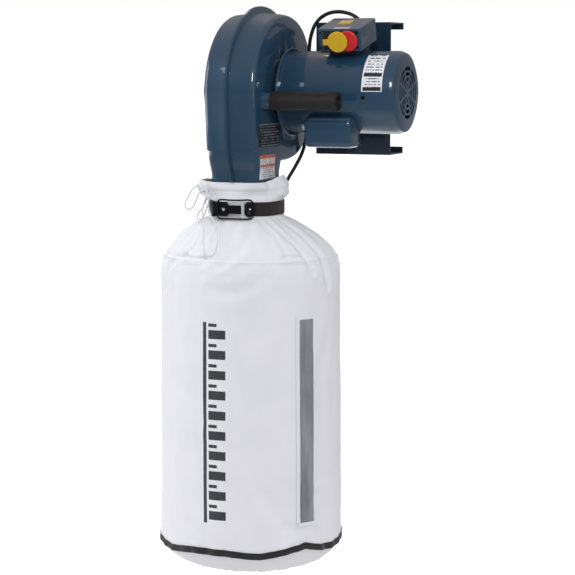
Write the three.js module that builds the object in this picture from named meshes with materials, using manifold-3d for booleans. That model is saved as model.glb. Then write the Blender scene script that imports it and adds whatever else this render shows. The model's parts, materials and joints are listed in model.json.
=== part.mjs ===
// A wall-hung dust collector: a scroll fan housing driven by a foot-mounted motor, with a filter bag
// belted to the housing's outlet. Millimetres, +Z up, +X along the motor's axis, +Y to the wall.
// The machine is laid out round the point where the motor's axis meets the housing's motor-side face,
// and the whole group is then moved so that the origin is the middle of the upper wall lip's back face.
import * as THREE from "three";
import { mergeVertices } from "three/addons/utils/BufferGeometryUtils.js";
import Module from "manifold-3d";

// ---------------------------------------------------------------- driving dimensions
const GAP = 0.3; // between pieces that touch
const SHEET = 2.5; // wall of the pressed steel pieces

// fan housing
const HOUSING_X = [-110, 0];
const MID_X = -55;
const FRONT_R = 170; // reach of the scroll to the front, top, wall side and bottom
const TOP_R = 160;
const BACK_R = 156;
const BOTTOM_R = 144;
const SEAM = 13; // how far the seam flange stands out
const OUTLET = { y: -76, r: 67, mouth: -226 };
const INLET_R = 50;

// motor
const MOTOR_R = 82.5;
const SHELL_X = [22, 190];
const FLANGE_R = 89; // of the front end bell
const COVER_END = 260;
const SHAFT_R = 9.5;
const ROD_R = 74; // circle of the tie bolts
const ROTOR_R = 44;

// wall bracket
const PLATE_Y = 95;
const WALL_Y = 178;
const BRACKET_X = [29, 191];
const BRACKET_Z = [-129, 141];
const BRACKET_T = 3;
const LIP = 14;

// bag
const BAG = { x: -50, y: -66, r: 185, wall: 3 };
const NECK_R = 70.4; // inside of the gathered neck, round the outlet
const NECK_TOP = -178;
const BAG_SEAM = -322; // round the shoulder
const BAG_BOTTOM = -968;

// switch box
const BOX = { at: [94, -60, 81], size: [90, 97, 45], tilt: 14 };

// power cord
const CORD_R = 3.8;
const DRAWSTRING_R = 1.8;

// ---------------------------------------------------------------- solids
const wasm = await Module();
wasm.setup();
const { Manifold, Mesh } = wasm;
const { PI, cos, sin, abs, sign } = Math;
const DEG = PI / 180;

// A closed three.js geometry as a manifold solid facing outwards.
function solid(geometry) {
  const bare = geometry.index ? geometry.toNonIndexed() : geometry.clone();
  bare.deleteAttribute("normal");
  bare.deleteAttribute("uv");
  const merged = mergeVertices(bare, 1e-4);
  const p = merged.attributes.position.array;
  const t = new Uint32Array(merged.index.array);
  let volume = 0;
  for (let i = 0; i < t.length; i += 3) {
    const [a, b, c] = [0, 1, 2].map((k) =>
      new THREE.Vector3().fromArray(p, 3 * t[i + k]),
    );
    volume += a.dot(b.cross(c));
  }
  if (volume < 0)
    for (let i = 0; i < t.length; i += 3) [t[i], t[i + 1]] = [t[i + 1], t[i]];
  return new Manifold(
    new Mesh({ numProp: 3, vertProperties: p, triVerts: t }),
  );
}

function geometryOf(made) {
  const m = made.getMesh();
  return new THREE.BufferGeometry()
    .setAttribute("position", new THREE.BufferAttribute(m.vertProperties, 3))
    .setIndex(new THREE.BufferAttribute(m.triVerts, 1))
    .toNonIndexed();
}

const join = (first, ...rest) => rest.reduce((all, s) => all.add(s), first);
const cut = (first, ...rest) => rest.reduce((all, s) => all.subtract(s), first);

// Turns a geometry drawn in (x, y) and raised along z so that it lies in (y, z) and rises along +X.
const alongX = (g) =>
  g.applyMatrix4(
    new THREE.Matrix4().makeBasis(
      new THREE.Vector3(0, 1, 0),
      new THREE.Vector3(0, 0, 1),
      new THREE.Vector3(1, 0, 0),
    ),
  );

function block([x0, x1], [y0, y1], [z0, z1]) {
  const g = new THREE.BoxGeometry(x1 - x0, y1 - y0, z1 - z0);
  return solid(g.translate((x0 + x1) / 2, (y0 + y1) / 2, (z0 + z1) / 2));
}

// A round bar of radius r from one end to the other along an axis, through the two other coordinates.
function bar(axis, r, [from, to], [u, v] = [0, 0], sides = 20) {
  const g = new THREE.CylinderGeometry(r, r, to - from, sides);
  g.translate(0, (from + to) / 2, 0);
  if (axis === "x") return solid(g.rotateZ(-PI / 2).translate(0, u, v));
  if (axis === "y") return solid(g.translate(u, 0, v));
  return solid(g.rotateX(PI / 2).translate(u, v, 0));
}

// A turned piece from a closed outline of [radius, distance along the axis].
function turned(axis, outline, sides = 32, [u, v] = [0, 0]) {
  const points = outline.map(([r, h]) => new THREE.Vector2(r, h));
  if (points[0].x > 0 || points.at(-1).x > 0) points.push(points[0].clone());
  const g = new THREE.LatheGeometry(points, sides);
  if (axis === "x") return solid(g.rotateZ(-PI / 2).translate(0, u, v));
  if (axis === "y") return solid(g.translate(u, 0, v));
  return solid(g.rotateX(PI / 2).translate(u, v, 0));
}

const tube = (axis, rIn, rOut, [from, to], sides = 32, at = [0, 0]) =>
  turned(axis, [[rIn, from], [rOut, from], [rOut, to], [rIn, to]], sides, at);

function raised(shape, depth, options = {}) {
  return new THREE.ExtrudeGeometry(shape, {
    depth,
    bevelEnabled: false,
    curveSegments: 6,
    ...options,
  });
}

const polygon = (points) =>
  new THREE.Shape(points.map(([x, y]) => new THREE.Vector2(x, y)));

// A rectangle with rounded corners, centred on (cx, cy).
function roundedRectangle(w, h, r, cx = 0, cy = 0) {
  const s = new THREE.Shape();
  const [a, b] = [w / 2, h / 2];
  s.moveTo(cx - a + r, cy - b);
  s.lineTo(cx + a - r, cy - b);
  s.absarc(cx + a - r, cy - b + r, r, -PI / 2, 0);
  s.lineTo(cx + a, cy + b - r);
  s.absarc(cx + a - r, cy + b - r, r, 0, PI / 2);
  s.lineTo(cx - a + r, cy + b);
  s.absarc(cx - a + r, cy + b - r, r, PI / 2, PI);
  s.lineTo(cx - a, cy - b + r);
  s.absarc(cx - a + r, cy - b + r, r, PI, 1.5 * PI);
  return s;
}

function regular(sides, acrossFlats) {
  const r = acrossFlats / 2 / cos(PI / sides);
  return polygon(
    Array.from({ length: sides }, (_, i) => [
      r * cos((2 * PI * i) / sides),
      r * sin((2 * PI * i) / sides),
    ]),
  );
}

// A round section swept along hand-chosen points.
function swept(points, radius, sides, steps, closed = false) {
  const path = new THREE.CatmullRomCurve3(
    points.map((p) => new THREE.Vector3(...p)),
    closed,
    "centripetal",
  );
  const section = polygon(
    Array.from({ length: sides }, (_, i) => [
      radius * cos((2 * PI * i) / sides),
      radius * sin((2 * PI * i) / sides),
    ]),
  );
  return solid(raised(section, 1, { extrudePath: path, steps }));
}

// A hexagon-head bolt along an axis: the head lies past the shank's end in the direction given.
function hexBolt(axis, [tip, seat], at, shankR, flats, headHeight, direction) {
  const head = raised(regular(6, flats), headHeight);
  if (axis === "x") alongX(head);
  else head.rotateX(-PI / 2);
  const start = direction > 0 ? seat : seat - headHeight;
  if (axis === "x") head.translate(start, at[0], at[1]);
  else head.translate(at[0], start, at[1]);
  const shank = [Math.min(tip, seat), Math.max(tip, seat)];
  return join(bar(axis, shankR, shank, at, 8), solid(head));
}

// ---------------------------------------------------------------- finishes
const finish = (color, roughness, metalness) => ({ color, roughness, metalness });
const FINISH = {
  paint: finish(0x2c485d, 0.35, 0.2),
  darkPaint: finish(0x22323d, 0.45, 0.2),
  steel: finish(0x9a9c9e, 0.4, 0.9),
  zinc: finish(0xb8bbbd, 0.35, 0.9),
  castAluminium: finish(0x8d9092, 0.5, 0.8),
  laminations: finish(0x5a5c60, 0.55, 0.8),
  copper: finish(0xb06a3a, 0.4, 0.9),
  blackPlastic: finish(0x1d1e20, 0.5, 0),
  rubber: finish(0x2b2c2e, 0.75, 0),
  yellow: finish(0xdbb629, 0.4, 0),
  red: finish(0xd4393d, 0.4, 0),
  green: finish(0x2f8a4c, 0.4, 0),
  fabric: finish(0xe9eaee, 0.9, 0),
  binding: finish(0x2a2a2c, 0.8, 0),
  window: finish(0x86888a, 0.25, 0),
  webbing: finish(0x242022, 0.7, 0),
  blackSteel: finish(0x1c1c1e, 0.4, 0.6),
  cordSheath: finish(0x141414, 0.6, 0),
};

const machine = new THREE.Group();
function add(name, made, kind, parent = machine) {
  const mesh = new THREE.Mesh(
    geometryOf(made),
    new THREE.MeshStandardMaterial(FINISH[kind]),
  );
  mesh.name = name;
  parent.add(mesh);
}

// ---------------------------------------------------------------- fan housing
// The scroll seen along the motor's axis: four quarter curves, the wall side a little square.
function scroll(grow) {
  const [f, t, b, u] = [FRONT_R, TOP_R, BACK_R, BOTTOM_R].map((r) => r + grow);
  const [round, full] = [0.552, 0.64];
  const s = new THREE.Shape();
  s.moveTo(-f, 0);
  s.bezierCurveTo(-f, t * round, -f * round, t, 0, t);
  s.bezierCurveTo(b * full, t, b, t * full, b, 0);
  s.bezierCurveTo(b, -u * full, b * full, -u, 0, -u);
  s.lineTo(-f * 0.3, -u);
  s.lineTo(-f * 0.94, -u * 0.82);
  s.closePath();
  return s;
}

// The drum: its wall falls in slightly from the middle seam to both faces, with rounded edges.
function drum(inset, curveSegments = 12) {
  const bevel = 11;
  const depth = HOUSING_X[1] - HOUSING_X[0] - 2 * inset - 2 * bevel;
  const g = raised(scroll(-inset), depth, {
    steps: 2,
    curveSegments,
    bevelEnabled: true,
    bevelThickness: bevel,
    bevelSize: 7,
    bevelOffset: -7,
    bevelSegments: inset ? 1 : 3,
  });
  alongX(g).translate(HOUSING_X[0] + inset + bevel, 0, 0);
  const p = g.attributes.position;
  for (let i = 0; i < p.count; i++) {
    const fall = 1 - (0.03 * abs(p.getX(i) - MID_X)) / 55;
    p.setXYZ(i, p.getX(i), p.getY(i) * fall, p.getZ(i) * fall);
  }
  return solid(g);
}

// The outlet starts inside the drum, runs down as a flat-sided duct whose front and wall side draw
// together, and turns into a round neck at the mouth.
function outlet(inset, reach = 0) {
  const [top, bottom] = [-92, OUTLET.mouth - reach];
  const { smoothstep, lerp } = THREE.MathUtils;
  const g = new THREE.CylinderGeometry(1, 1, 1, 32, 12);
  const p = g.attributes.position;
  for (let i = 0; i < p.count; i++) {
    const z = top + (bottom - top) * (0.5 - p.getY(i));
    const full = smoothstep(-z, -top, 125);
    const narrow = smoothstep(-z, 120, 168);
    const round = smoothstep(-z, 160, 215);
    const power = 2 / lerp(8, 2, smoothstep(-z, 152, 204));
    const duct = [lerp(49, 54, full), lerp(lerp(76, 78, full), 60, narrow)];
    const halfX = lerp(duct[0], OUTLET.r, round) - inset;
    const halfY = lerp(duct[1], OUTLET.r, round) - inset;
    const middle = lerp(-81, OUTLET.y, round);
    const squared = (v) => (abs(v) < 1e-6 ? 0 : sign(v) * abs(v) ** power);
    p.setXYZ(
      i,
      MID_X + halfX * squared(p.getX(i)),
      middle + halfY * squared(p.getZ(i)),
      z,
    );
  }
  return solid(g);
}

function housingHalf(motorSide) {
  const [x0, x1] = motorSide
    ? [MID_X + GAP / 2, HOUSING_X[1] + 20]
    : [HOUSING_X[0] - 20, MID_X - GAP / 2];
  const flangeX = motorSide ? [x0, x0 + 2.2] : [x1 - 2.2, x1];
  const hollow = join(drum(SHEET, 6), outlet(SHEET, 10));
  const rim = solid(
    alongX(raised(scroll(SEAM), flangeX[1] - flangeX[0], { curveSegments: 12 })),
  ).translate([flangeX[0], 0, 0]);
  const skirt = solid(
    alongX(
      raised(
        polygon([
          [-FRONT_R - SEAM, 0],
          [-FRONT_R - SEAM + 3, -90],
          [-FRONT_R - 3, -126],
          [OUTLET.y - OUTLET.r - SEAM, -176],
          [OUTLET.y + OUTLET.r - 4, -176],
          [-10, -120],
          [0, 0],
        ]),
        flangeX[1] - flangeX[0],
      ),
    ),
  ).translate([flangeX[0], 0, 0]);
  const side = block([x0, x1], [-300, 300], [-300, 300]);
  return cut(
    join(
      join(drum(0), outlet(0)).intersect(side),
      rim.subtract(drum(SHEET, 6)),
      skirt,
    ),
    hollow,
  );
}

const HOUSING_BOLTS = [45, 135, 225, 315].map((a) => [
  50 * cos(a * DEG),
  50 * sin(a * DEG),
]);

const motorHalf = cut(
  housingHalf(true),
  bar("x", 27, [-10, 10], [0, 0], 32),
  ...HOUSING_BOLTS.map((at) => bar("x", 4.3, [-10, 10], at, 12)),
);
add("housing_motor_half", motorHalf, "paint");

const inletHalf = cut(housingHalf(false), bar("x", INLET_R - 2, [-130, -90], [0, 0], 36));
add("housing_inlet_half", inletHalf, "paint");

// The inlet collar takes a 100 mm hose, and stands on a flange on the housing's outer face.
const faceX = HOUSING_X[0] - GAP;
add(
  "inlet_collar",
  turned("x", [
    [INLET_R - 2, faceX],
    [INLET_R + 14, faceX],
    [INLET_R + 14, faceX - 2.5],
    [INLET_R, faceX - 2.5],
    [INLET_R, faceX - 50],
    [INLET_R - 2, faceX - 50],
  ], 36),
  "paint",
);

// ---------------------------------------------------------------- impeller and shaft
const BACKPLATE_X = [-15, -12.5];
const HUB_X = [-46, -12.5];
const blades = Array.from({ length: 8 }, (_, i) =>
  block([-62, BACKPLATE_X[0] + 1], [27, 112], [-1.2, 1.2])
    .rotate([-22, 0, 0])
    .translate([0, -2, 8])
    .rotate([45 * i, 0, 0]),
);
add(
  "impeller",
  cut(
    join(
      bar("x", 115, BACKPLATE_X, [0, 0], 40),
      turned("x", [[0, HUB_X[0]], [17, HUB_X[0]], [24, HUB_X[1]], [0, HUB_X[1]]], 24),
      tube("x", 26, 32, [-24, BACKPLATE_X[0] + 1], 20),
      ...blades,
    ),
    bar("x", SHAFT_R + GAP, [-80, 0]),
  ),
  "steel",
);
// The impeller's bolt has its washer forged on.
const washerX = HUB_X[0] - GAP;
add(
  "impeller_bolt",
  join(
    hexBolt("x", [-34, washerX - 2], [0, 0], 3.9, 13, 6, -1),
    turned("x", [[0, washerX], [15, washerX], [14, washerX - 2.5], [0, washerX - 2.5]], 24),
  ),
  "zinc",
);
add(
  "motor_shaft",
  cut(bar("x", SHAFT_R, [HUB_X[0] + 2, 228], [0, 0], 32), bar("x", 4.2, [-50, -32], [0, 0], 12)),
  "steel",
);
add(
  "rotor_core",
  cut(bar("x", ROTOR_R, [62, 142], [0, 0], 32), bar("x", SHAFT_R + GAP, [60, 144], [0, 0], 32)),
  "laminations",
);
const fanBlades = Array.from({ length: 8 }, (_, i) =>
  block([202, 224], [12, 60], [-1, 1]).rotate([45 * i, 0, 0]),
);
add(
  "cooling_fan",
  cut(
    join(
      turned("x", [[0, 200.5], [16, 200.5], [16, 224], [0, 224]], 16),
      bar("x", 60, [200.5, 203], [0, 0], 32),
      ...fanBlades,
    ),
    bar("x", SHAFT_R + GAP, [195, 230], [0, 0], 32),
  ),
  "blackPlastic",
);

// ---------------------------------------------------------------- motor
const motorClear = bar("x", MOTOR_R + GAP, [0, 280], [0, 0], 56);
const bellR = MOTOR_R - 2.8;
const RODS = [35, 145, 215, 325].map((a) => [
  ROD_R * cos(a * DEG),
  ROD_R * sin(a * DEG),
]);
const rodHoles = (span) => RODS.map((at) => bar("x", 2.9, span, at, 8));
const BEARING_R = 23.5;

add(
  "front_end_bell",
  cut(
    turned("x", [
      [SHAFT_R + 1.5, GAP],
      [66, GAP],
      [68, 2],
      [69, 12],
      [FLANGE_R - 1, 12],
      [FLANGE_R, 13],
      [FLANGE_R, 15],
      [FLANGE_R - 1, 16],
      [bellR, 16],
      [bellR, 34],
      [bellR - 4, 34],
      [bellR - 4, 20],
      [30, 20],
      [30, 36],
      [BEARING_R + GAP, 36],
      [BEARING_R + GAP, 21.5],
      [SHAFT_R + 1.5, 21.5],
    ], 40),
    ...rodHoles([0, 40]),
    ...HOUSING_BOLTS.map((at) => bar("x", 4.3, [0, 12], at, 12)),
  ),
  "paint",
);
add(
  "rear_end_bell",
  cut(
    turned("x", [
      [SHAFT_R + 1.5, 198],
      [bellR, 198],
      [bellR, 172],
      [bellR - 4, 172],
      [bellR - 4, 192],
      [30, 192],
      [30, 176],
      [BEARING_R + GAP, 176],
      [BEARING_R + GAP, 190.5],
      [SHAFT_R + 1.5, 190.5],
    ], 24),
    ...rodHoles([160, 200]),
  ),
  "castAluminium",
);
const bearing = (x) => tube("x", SHAFT_R + GAP, BEARING_R, x, 24);
add("front_bearing", bearing([22, 36]), "steel");
add("rear_bearing", bearing([176, 190]), "steel");
add(
  "motor_shell",
  turned("x", [
    [MOTOR_R - 2.5, SHELL_X[0]],
    [MOTOR_R - 1.2, SHELL_X[0]],
    [MOTOR_R, SHELL_X[0] + 2],
    [MOTOR_R, SHELL_X[1]],
    [MOTOR_R - 2.5, SHELL_X[1]],
  ], 56),
  "paint",
);
add(
  "stator_core",
  cut(
    tube("x", ROTOR_R + 0.8, MOTOR_R - 3, [58, 146], 40),
    ...RODS.map(([y, z]) => bar("x", 5, [50, 150], [y * 1.03, z * 1.03], 10)),
  ),
  "laminations",
);
const winding = (x) => tube("x", ROTOR_R + 4, MOTOR_R - 16, x, 24);
add("front_winding", winding([40, 58 - GAP]), "copper");
add("rear_winding", winding([146 + GAP, 164]), "copper");
RODS.forEach((at, i) =>
  add(
    "tie_bolt_" + (i + 1),
    hexBolt("x", [199, 12 - GAP], at, 2.4, 8, 3.5, -1),
    "zinc",
  ),
);
// Inside the housing the four bolts stand on one stiffening ring.
const ringX = [-SHEET - GAP - 2.5, -SHEET - GAP];
add(
  "housing_bolt_ring",
  join(
    tube("x", 42, 58, ringX, 24),
    ...HOUSING_BOLTS.map((at) => hexBolt("x", [11, ringX[0]], at, 3.9, 11, 4.5, -1)),
  ),
  "zinc",
);

// The fan cover is a drawn cup with a grille of curved slots in eight sectors.
const coverX = SHELL_X[1] + GAP;
const coverCup = turned("x", [
  [MOTOR_R - 2, coverX],
  [MOTOR_R, coverX],
  [MOTOR_R, COVER_END - 15],
  [MOTOR_R - 4.5, COVER_END - 4.5],
  [MOTOR_R - 15, COVER_END],
  [0, COVER_END],
  [0, COVER_END - 2],
  [MOTOR_R - 16, COVER_END - 2],
  [MOTOR_R - 6, COVER_END - 6],
  [MOTOR_R - 2, COVER_END - 16],
], 56);
function slot(inner, outer, from, to) {
  const s = new THREE.Shape();
  s.absarc(0, 0, outer, from, to, false);
  s.absarc(0, 0, inner, to, from, true);
  return solid(
    alongX(raised(s, 12, { curveSegments: 2 })).translate(COVER_END - 8, 0, 0),
  );
}
const slots = [];
for (let sector = 0; sector < 8; sector++)
  for (let ring = 0; ring < 4; ring++) {
    const inner = 12 + ring * 11;
    const margin = 2.6 / (inner + 3);
    const start = (sector * PI) / 4 + PI / 8;
    slots.push(slot(inner, inner + 6.5, start + margin, start + PI / 4 - margin));
  }
const COVER_SCREWS = [186, 306, 66].map((a) => a * DEG);
const radial = (made, angle) => made.rotate([angle / DEG, 0, 0]);
add(
  "fan_cover",
  cut(
    coverCup,
    ...slots,
    ...COVER_SCREWS.map((a) =>
      radial(bar("y", 2.4, [MOTOR_R - 6, MOTOR_R + 4], [195, 0], 10), a),
    ),
  ),
  "paint",
);
COVER_SCREWS.forEach((a, i) =>
  add(
    "fan_cover_screw_" + (i + 1),
    radial(
      join(
        bar("y", 1.9, [MOTOR_R - 1.6, MOTOR_R + 1], [195, 0], 10),
        turned("y", [[0, MOTOR_R + GAP], [4, MOTOR_R + GAP], [3, MOTOR_R + 3], [0, MOTOR_R + 3]],
          10, [195, 0]),
      ),
      a,
    ),
    "blackSteel",
  ),
);

// The start capacitor lies in a rounded box under the front of the motor.
const CAPACITOR_X = [73, 170];
const capBevel = 7;
const capBox = (inset) =>
  solid(
    alongX(
      raised(
        roundedRectangle(66 - 2 * inset, 62 - 2 * inset, 17, -55, -77),
        CAPACITOR_X[1] - CAPACITOR_X[0] - 2 * inset - 2 * capBevel,
        {
          bevelEnabled: true,
          bevelThickness: capBevel,
          bevelSize: 5,
          bevelOffset: -5,
          bevelSegments: inset ? 1 : 3,
          curveSegments: inset ? 3 : 6,
        },
      ),
    ).translate(CAPACITOR_X[0] + inset + capBevel, 0, 0),
  );
add("capacitor_cover", cut(capBox(0), capBox(2.2), motorClear), "paint");
add("start_capacitor", bar("x", 14, [82, 160], [-60, -90], 24), "blackPlastic");

// ---------------------------------------------------------------- handle
const HANDLE = { y: -122, z: -15, end: 160 };
const handleAt = [HANDLE.y, HANDLE.z];
add(
  "handle_bar",
  join(
    turned("x", [[0, GAP], [17, GAP], [16.5, 6], [15.5, 19], [0, 19]], 24, handleAt),
    bar("x", 11, [7, HANDLE.end - 8], handleAt, 24),
  ),
  "paint",
);
add(
  "handle_grip",
  turned("x", [
    [11 + GAP, 20],
    [18.5, 20],
    [19, 23],
    [17, HANDLE.end - 12],
    [18, HANDLE.end - 8],
    [18, HANDLE.end - 1],
    [17, HANDLE.end],
    [11 + GAP, HANDLE.end],
  ], 32, handleAt),
  "rubber",
);

// ---------------------------------------------------------------- wall bracket
const [z0, z1] = BRACKET_Z;
const [t, y0, y1] = [BRACKET_T, PLATE_Y, WALL_Y];
const channel = polygon([
  [y0, z0],
  [y1, z0],
  [y1, z0 + LIP],
  [y1 - t, z0 + LIP],
  [y1 - t, z0 + t],
  [y0 + t, z0 + t],
  [y0 + t, z1 - t],
  [y1 - t, z1 - t],
  [y1 - t, z1 - LIP],
  [y1, z1 - LIP],
  [y1, z1],
  [y0, z1],
]);
const FOOT_BOLTS = [[62, 32], [62, -32], [158, 32], [158, -32]];
add(
  "wall_bracket",
  cut(
    solid(alongX(raised(channel, BRACKET_X[1] - BRACKET_X[0])).translate(BRACKET_X[0], 0, 0)),
    ...FOOT_BOLTS.map((at) => bar("y", 4.3, [y0 - 5, y0 + 8], at, 12)),
  ),
  "darkPaint",
);
add(
  "motor_foot",
  cut(
    block([48, 172], [56, PLATE_Y - GAP], [-46, 46]),
    motorClear,
    block([66, 154], [50, PLATE_Y - 4], [-42, 42]),
    ...FOOT_BOLTS.map((at) => bar("y", 4.3, [84, 100], at, 12)),
  ),
  "darkPaint",
);
FOOT_BOLTS.forEach((at, i) =>
  add(
    "foot_bolt_" + (i + 1),
    hexBolt("y", [PLATE_Y - 8, PLATE_Y + t + GAP], at, 3.9, 13, 5, 1),
    "zinc",
  ),
);

// ---------------------------------------------------------------- switch box
// Built square to its own axes, then tilted up at the rear: x across, y to the rear, z up.
const [W, D, H] = BOX.size;
const box = new THREE.Group();
box.position.set(...BOX.at);
box.rotation.x = BOX.tilt * DEG;
machine.add(box);

const caseSolid = (inset) =>
  solid(
    raised(roundedRectangle(W - 2 * inset, D - 2 * inset, 4, W / 2, D / 2), H - 2 * inset - 3, {
      bevelEnabled: true,
      bevelThickness: 1.5,
      bevelSize: 1.5,
      bevelOffset: -1.5,
      bevelSegments: 1,
      curveSegments: 2,
    }).translate(0, 0, inset + 1.5),
  );
const shellOfBox = cut(
  cut(caseSolid(0), caseSolid(2)),
  block([12, 78], [-5, 5], [4, 41]),
  bar("y", 7.2, [D - 8, D + 8], [42, 26], 20),
);
// The cover is the front and top, the tray is the floor and rear; they part on a slope.
const slope = (lift) =>
  solid(
    alongX(
      raised(
        polygon([
          [-20, 3 + lift],
          [4, 3 + lift],
          [D - 4, H - 5 + lift],
          [D + 20, H - 5 + lift],
          [D + 20, 200],
          [-20, 200],
        ]),
        W + 40,
      ),
    ).translate(-20, 0, 0),
  );
add("switch_box_cover", shellOfBox.intersect(slope(GAP)), "paint", box);
add("switch_box_tray", shellOfBox.subtract(slope(0)), "paint", box);

// The switch body fills the opening in the cover; lugs at its left carry the flap's pin.
const DISC_R = 20.5;
const MID_Z = 22.5;
const [HINGE_X, HINGE_Y] = [19, -14];
const STOP_AT = [65, MID_Z];
const START_AT = [36, MID_Z];
add(
  "switch_body",
  cut(
    join(
      block([12.4, 77.6], [-0.6, 30], [4.4, 40.6]),
      block([15.5, 22.5], [HINGE_Y - 3.5, 0], [MID_Z - 9, MID_Z - 6.3]),
      block([15.5, 22.5], [HINGE_Y - 3.5, 0], [MID_Z + 6.3, MID_Z + 9]),
    ),
    bar("y", 9.4, [-3, 12], START_AT, 24),
    bar("y", 11.4, [-3, 12], STOP_AT, 24),
    bar("z", 1.4, [MID_Z - 12, MID_Z + 12], [HINGE_X, HINGE_Y], 12),
  ),
  "blackPlastic",
  box,
);
add(
  "stop_button",
  join(
    turned("y", [[0, -10], [DISC_R - 2, -10], [DISC_R, -8.5], [DISC_R, -5.5], [0, -5.5]], 40, STOP_AT),
    bar("y", 11, [-6, 6.5], STOP_AT, 24),
  ),
  "red",
  box,
);
add(
  "start_button",
  join(
    turned("y", [[0, -3.6], [7.6, -3.6], [8.4, -2.8], [8.4, -1], [0, -1]], 24, START_AT),
    bar("y", 9, [-1.5, 7], START_AT, 24),
  ),
  "green",
  box,
);
const flapDisc = solid(
  raised(new THREE.Shape().absarc(0, 0, DISC_R, 0, 2 * PI), 3, {
    bevelEnabled: true,
    bevelThickness: 0.8,
    bevelSize: 0.8,
    bevelOffset: -0.8,
    bevelSegments: 1,
    curveSegments: 20,
  })
    .rotateX(PI / 2)
    .translate(46.5, HINGE_Y + 1.5, MID_Z),
);
add(
  "switch_flap",
  cut(
    join(
      flapDisc,
      block([HINGE_X, 32], [HINGE_Y - 1.8, HINGE_Y + 1.5], [MID_Z - 6, MID_Z + 6]),
      bar("z", 3, [MID_Z - 6, MID_Z + 6], [HINGE_X, HINGE_Y], 20),
    ),
    bar("z", 1.5, [MID_Z - 12, MID_Z + 12], [HINGE_X, HINGE_Y], 12),
  ),
  "yellow",
  box,
);
add("flap_pin", bar("z", 1.15, [MID_Z - 9.4, MID_Z + 9.4], [HINGE_X, HINGE_Y], 10), "steel", box);
add(
  "cord_gland",
  cut(
    join(
      bar("y", 6.9, [D - 6, D + 1], [42, 26], 20),
      turned("y", [[0, D + GAP], [9.5, D + GAP], [9.5, D + 7], [6.5, D + 10], [5.2, D + 24], [0, D + 24]],
        24, [42, 26]),
    ),
    bar("y", CORD_R + GAP, [D - 10, D + 30], [42, 26], 16),
  ),
  "blackPlastic",
  box,
);

// The pedestal stands on the motor and carries the box's floor.
const tilted = (made) =>
  made.rotate([BOX.tilt, 0, 0]).translate(BOX.at);
add(
  "switch_box_pedestal",
  cut(
    block([108, 170], [-34, 30], [60, 110]),
    block([112, 166], [-31, 27], [50, 120]),
    motorClear,
    tilted(block([-50, W + 50], [-60, D + 60], [-GAP, 90])),
  ),
  "blackPlastic",
);

// ---------------------------------------------------------------- bag
// Radius and height of the filled bag's outside: the neck and shoulder, and the body below their seam.
const NECK_SIDE = [
  [84, NECK_TOP],
  [82, -190],
  [75.5, -208],
  [73.8, -214],
  [73.8, -249],
];
const SHOULDER_SIDE = [
  [92, -257],
  [131, -280],
  [165, -312],
  [171.5, BAG_SEAM + GAP / 2],
];
const BODY_SIDE = [
  [171.5, BAG_SEAM - GAP / 2],
  [180, -340],
  [183, -370],
  [185, -860],
  [183, -905],
  [168, -934],
  [140, -954],
  [60, BAG_BOTTOM],
  [0, BAG_BOTTOM],
];
const insideOf = (side) =>
  side
    .map(([r, z]) => [Math.max(0, r - BAG.wall), z + (z < -900 ? BAG.wall : 0)])
    .reverse();
const bagTop = [
  ...NECK_SIDE,
  ...SHOULDER_SIDE,
  ...insideOf(SHOULDER_SIDE),
  [NECK_R, -247],
  [NECK_R, -214],
  ...insideOf(NECK_SIDE.slice(0, 3)),
];
const bagBody = [...BODY_SIDE, ...insideOf(BODY_SIDE)];
// The neck hangs from the outlet, and the body hangs a little to the wall side of it.
function hang(made) {
  return made.warp((v) => {
    const t = THREE.MathUtils.smoothstep(-v[2], 244, 330);
    v[0] += THREE.MathUtils.lerp(MID_X, BAG.x, t);
    v[1] += THREE.MathUtils.lerp(OUTLET.y, BAG.y, t);
  });
}
const windowAngle = -31 * DEG;
const [windowTop, windowBottom] = [-436, -840];
const windowSpan = (20 / BAG.r) * 0.95;
// An upright strip bent to part of a ring.
function strip([rIn, rOut], [from, to], [low, high], [cx, cy], curveSegments) {
  const s = new THREE.Shape();
  s.absarc(0, 0, rOut, from, to, false);
  s.absarc(0, 0, rIn, to, from, true);
  return solid(raised(s, high - low, { curveSegments }).translate(cx, cy, low));
}
add("bag_top", hang(turned("z", bagTop, 28)), "fabric");
add("bag_body", hang(turned("z", bagBody, 28)), "fabric");
add(
  "bag_window",
  strip(
    [186.2, 187.4],
    [windowAngle - windowSpan, windowAngle + windowSpan],
    [windowBottom, windowTop],
    [BAG.x, BAG.y],
    4,
  ),
  "window",
);
add(
  "bag_binding",
  turned("z", [[186.2, -912], [189, -912], [190, -905], [189, -898], [186.2, -898]], 40, [BAG.x, BAG.y]),
  "binding",
);

// ---------------------------------------------------------------- belt and buckle
// The strap goes round the neck from the catch to the base; the buckle bridges the gap at the front.
const BELT = { z: -229, height: 28, rIn: 74.2, rOut: 77 };
const beltSpan = [BELT.z - BELT.height / 2, BELT.z + BELT.height / 2];
const atFront = (degrees) => (degrees - 90) * DEG; // 0 faces straight away from the wall
add(
  "belt_strap",
  strip([BELT.rIn, BELT.rOut], [atFront(22), atFront(353)], beltSpan, [MID_X, OUTLET.y], 20),
  "webbing",
);
// The buckle lies on the strap's two ends. Its lever turns on an upright pin at the left.
const buckleY = OUTLET.y - BELT.rOut - GAP;
const buckle = new THREE.Group();
buckle.position.set(MID_X - 2, buckleY, BELT.z);
machine.add(buckle);
const PIN_X = -32;
const PIN_Y = -7;
const strapCentre = [2, BELT.rOut + GAP]; // the neck's middle, seen from the buckle
const strapHollow = bar("z", BELT.rOut + GAP, [-60, 60], strapCentre, 56);
add(
  "buckle_base",
  cut(
    join(
      block([-39, -8], [-3, 14], [-14, 14]),
      block([PIN_X - 4, PIN_X + 4], [PIN_Y - 4, 0], [10.8, 14]),
      block([PIN_X - 4, PIN_X + 4], [PIN_Y - 4, 0], [-14, -10.8]),
    ),
    strapHollow,
    bar("z", 2.3, [-20, 20], [PIN_X, PIN_Y], 12),
  ),
  "blackSteel",
  buckle,
);
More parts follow.
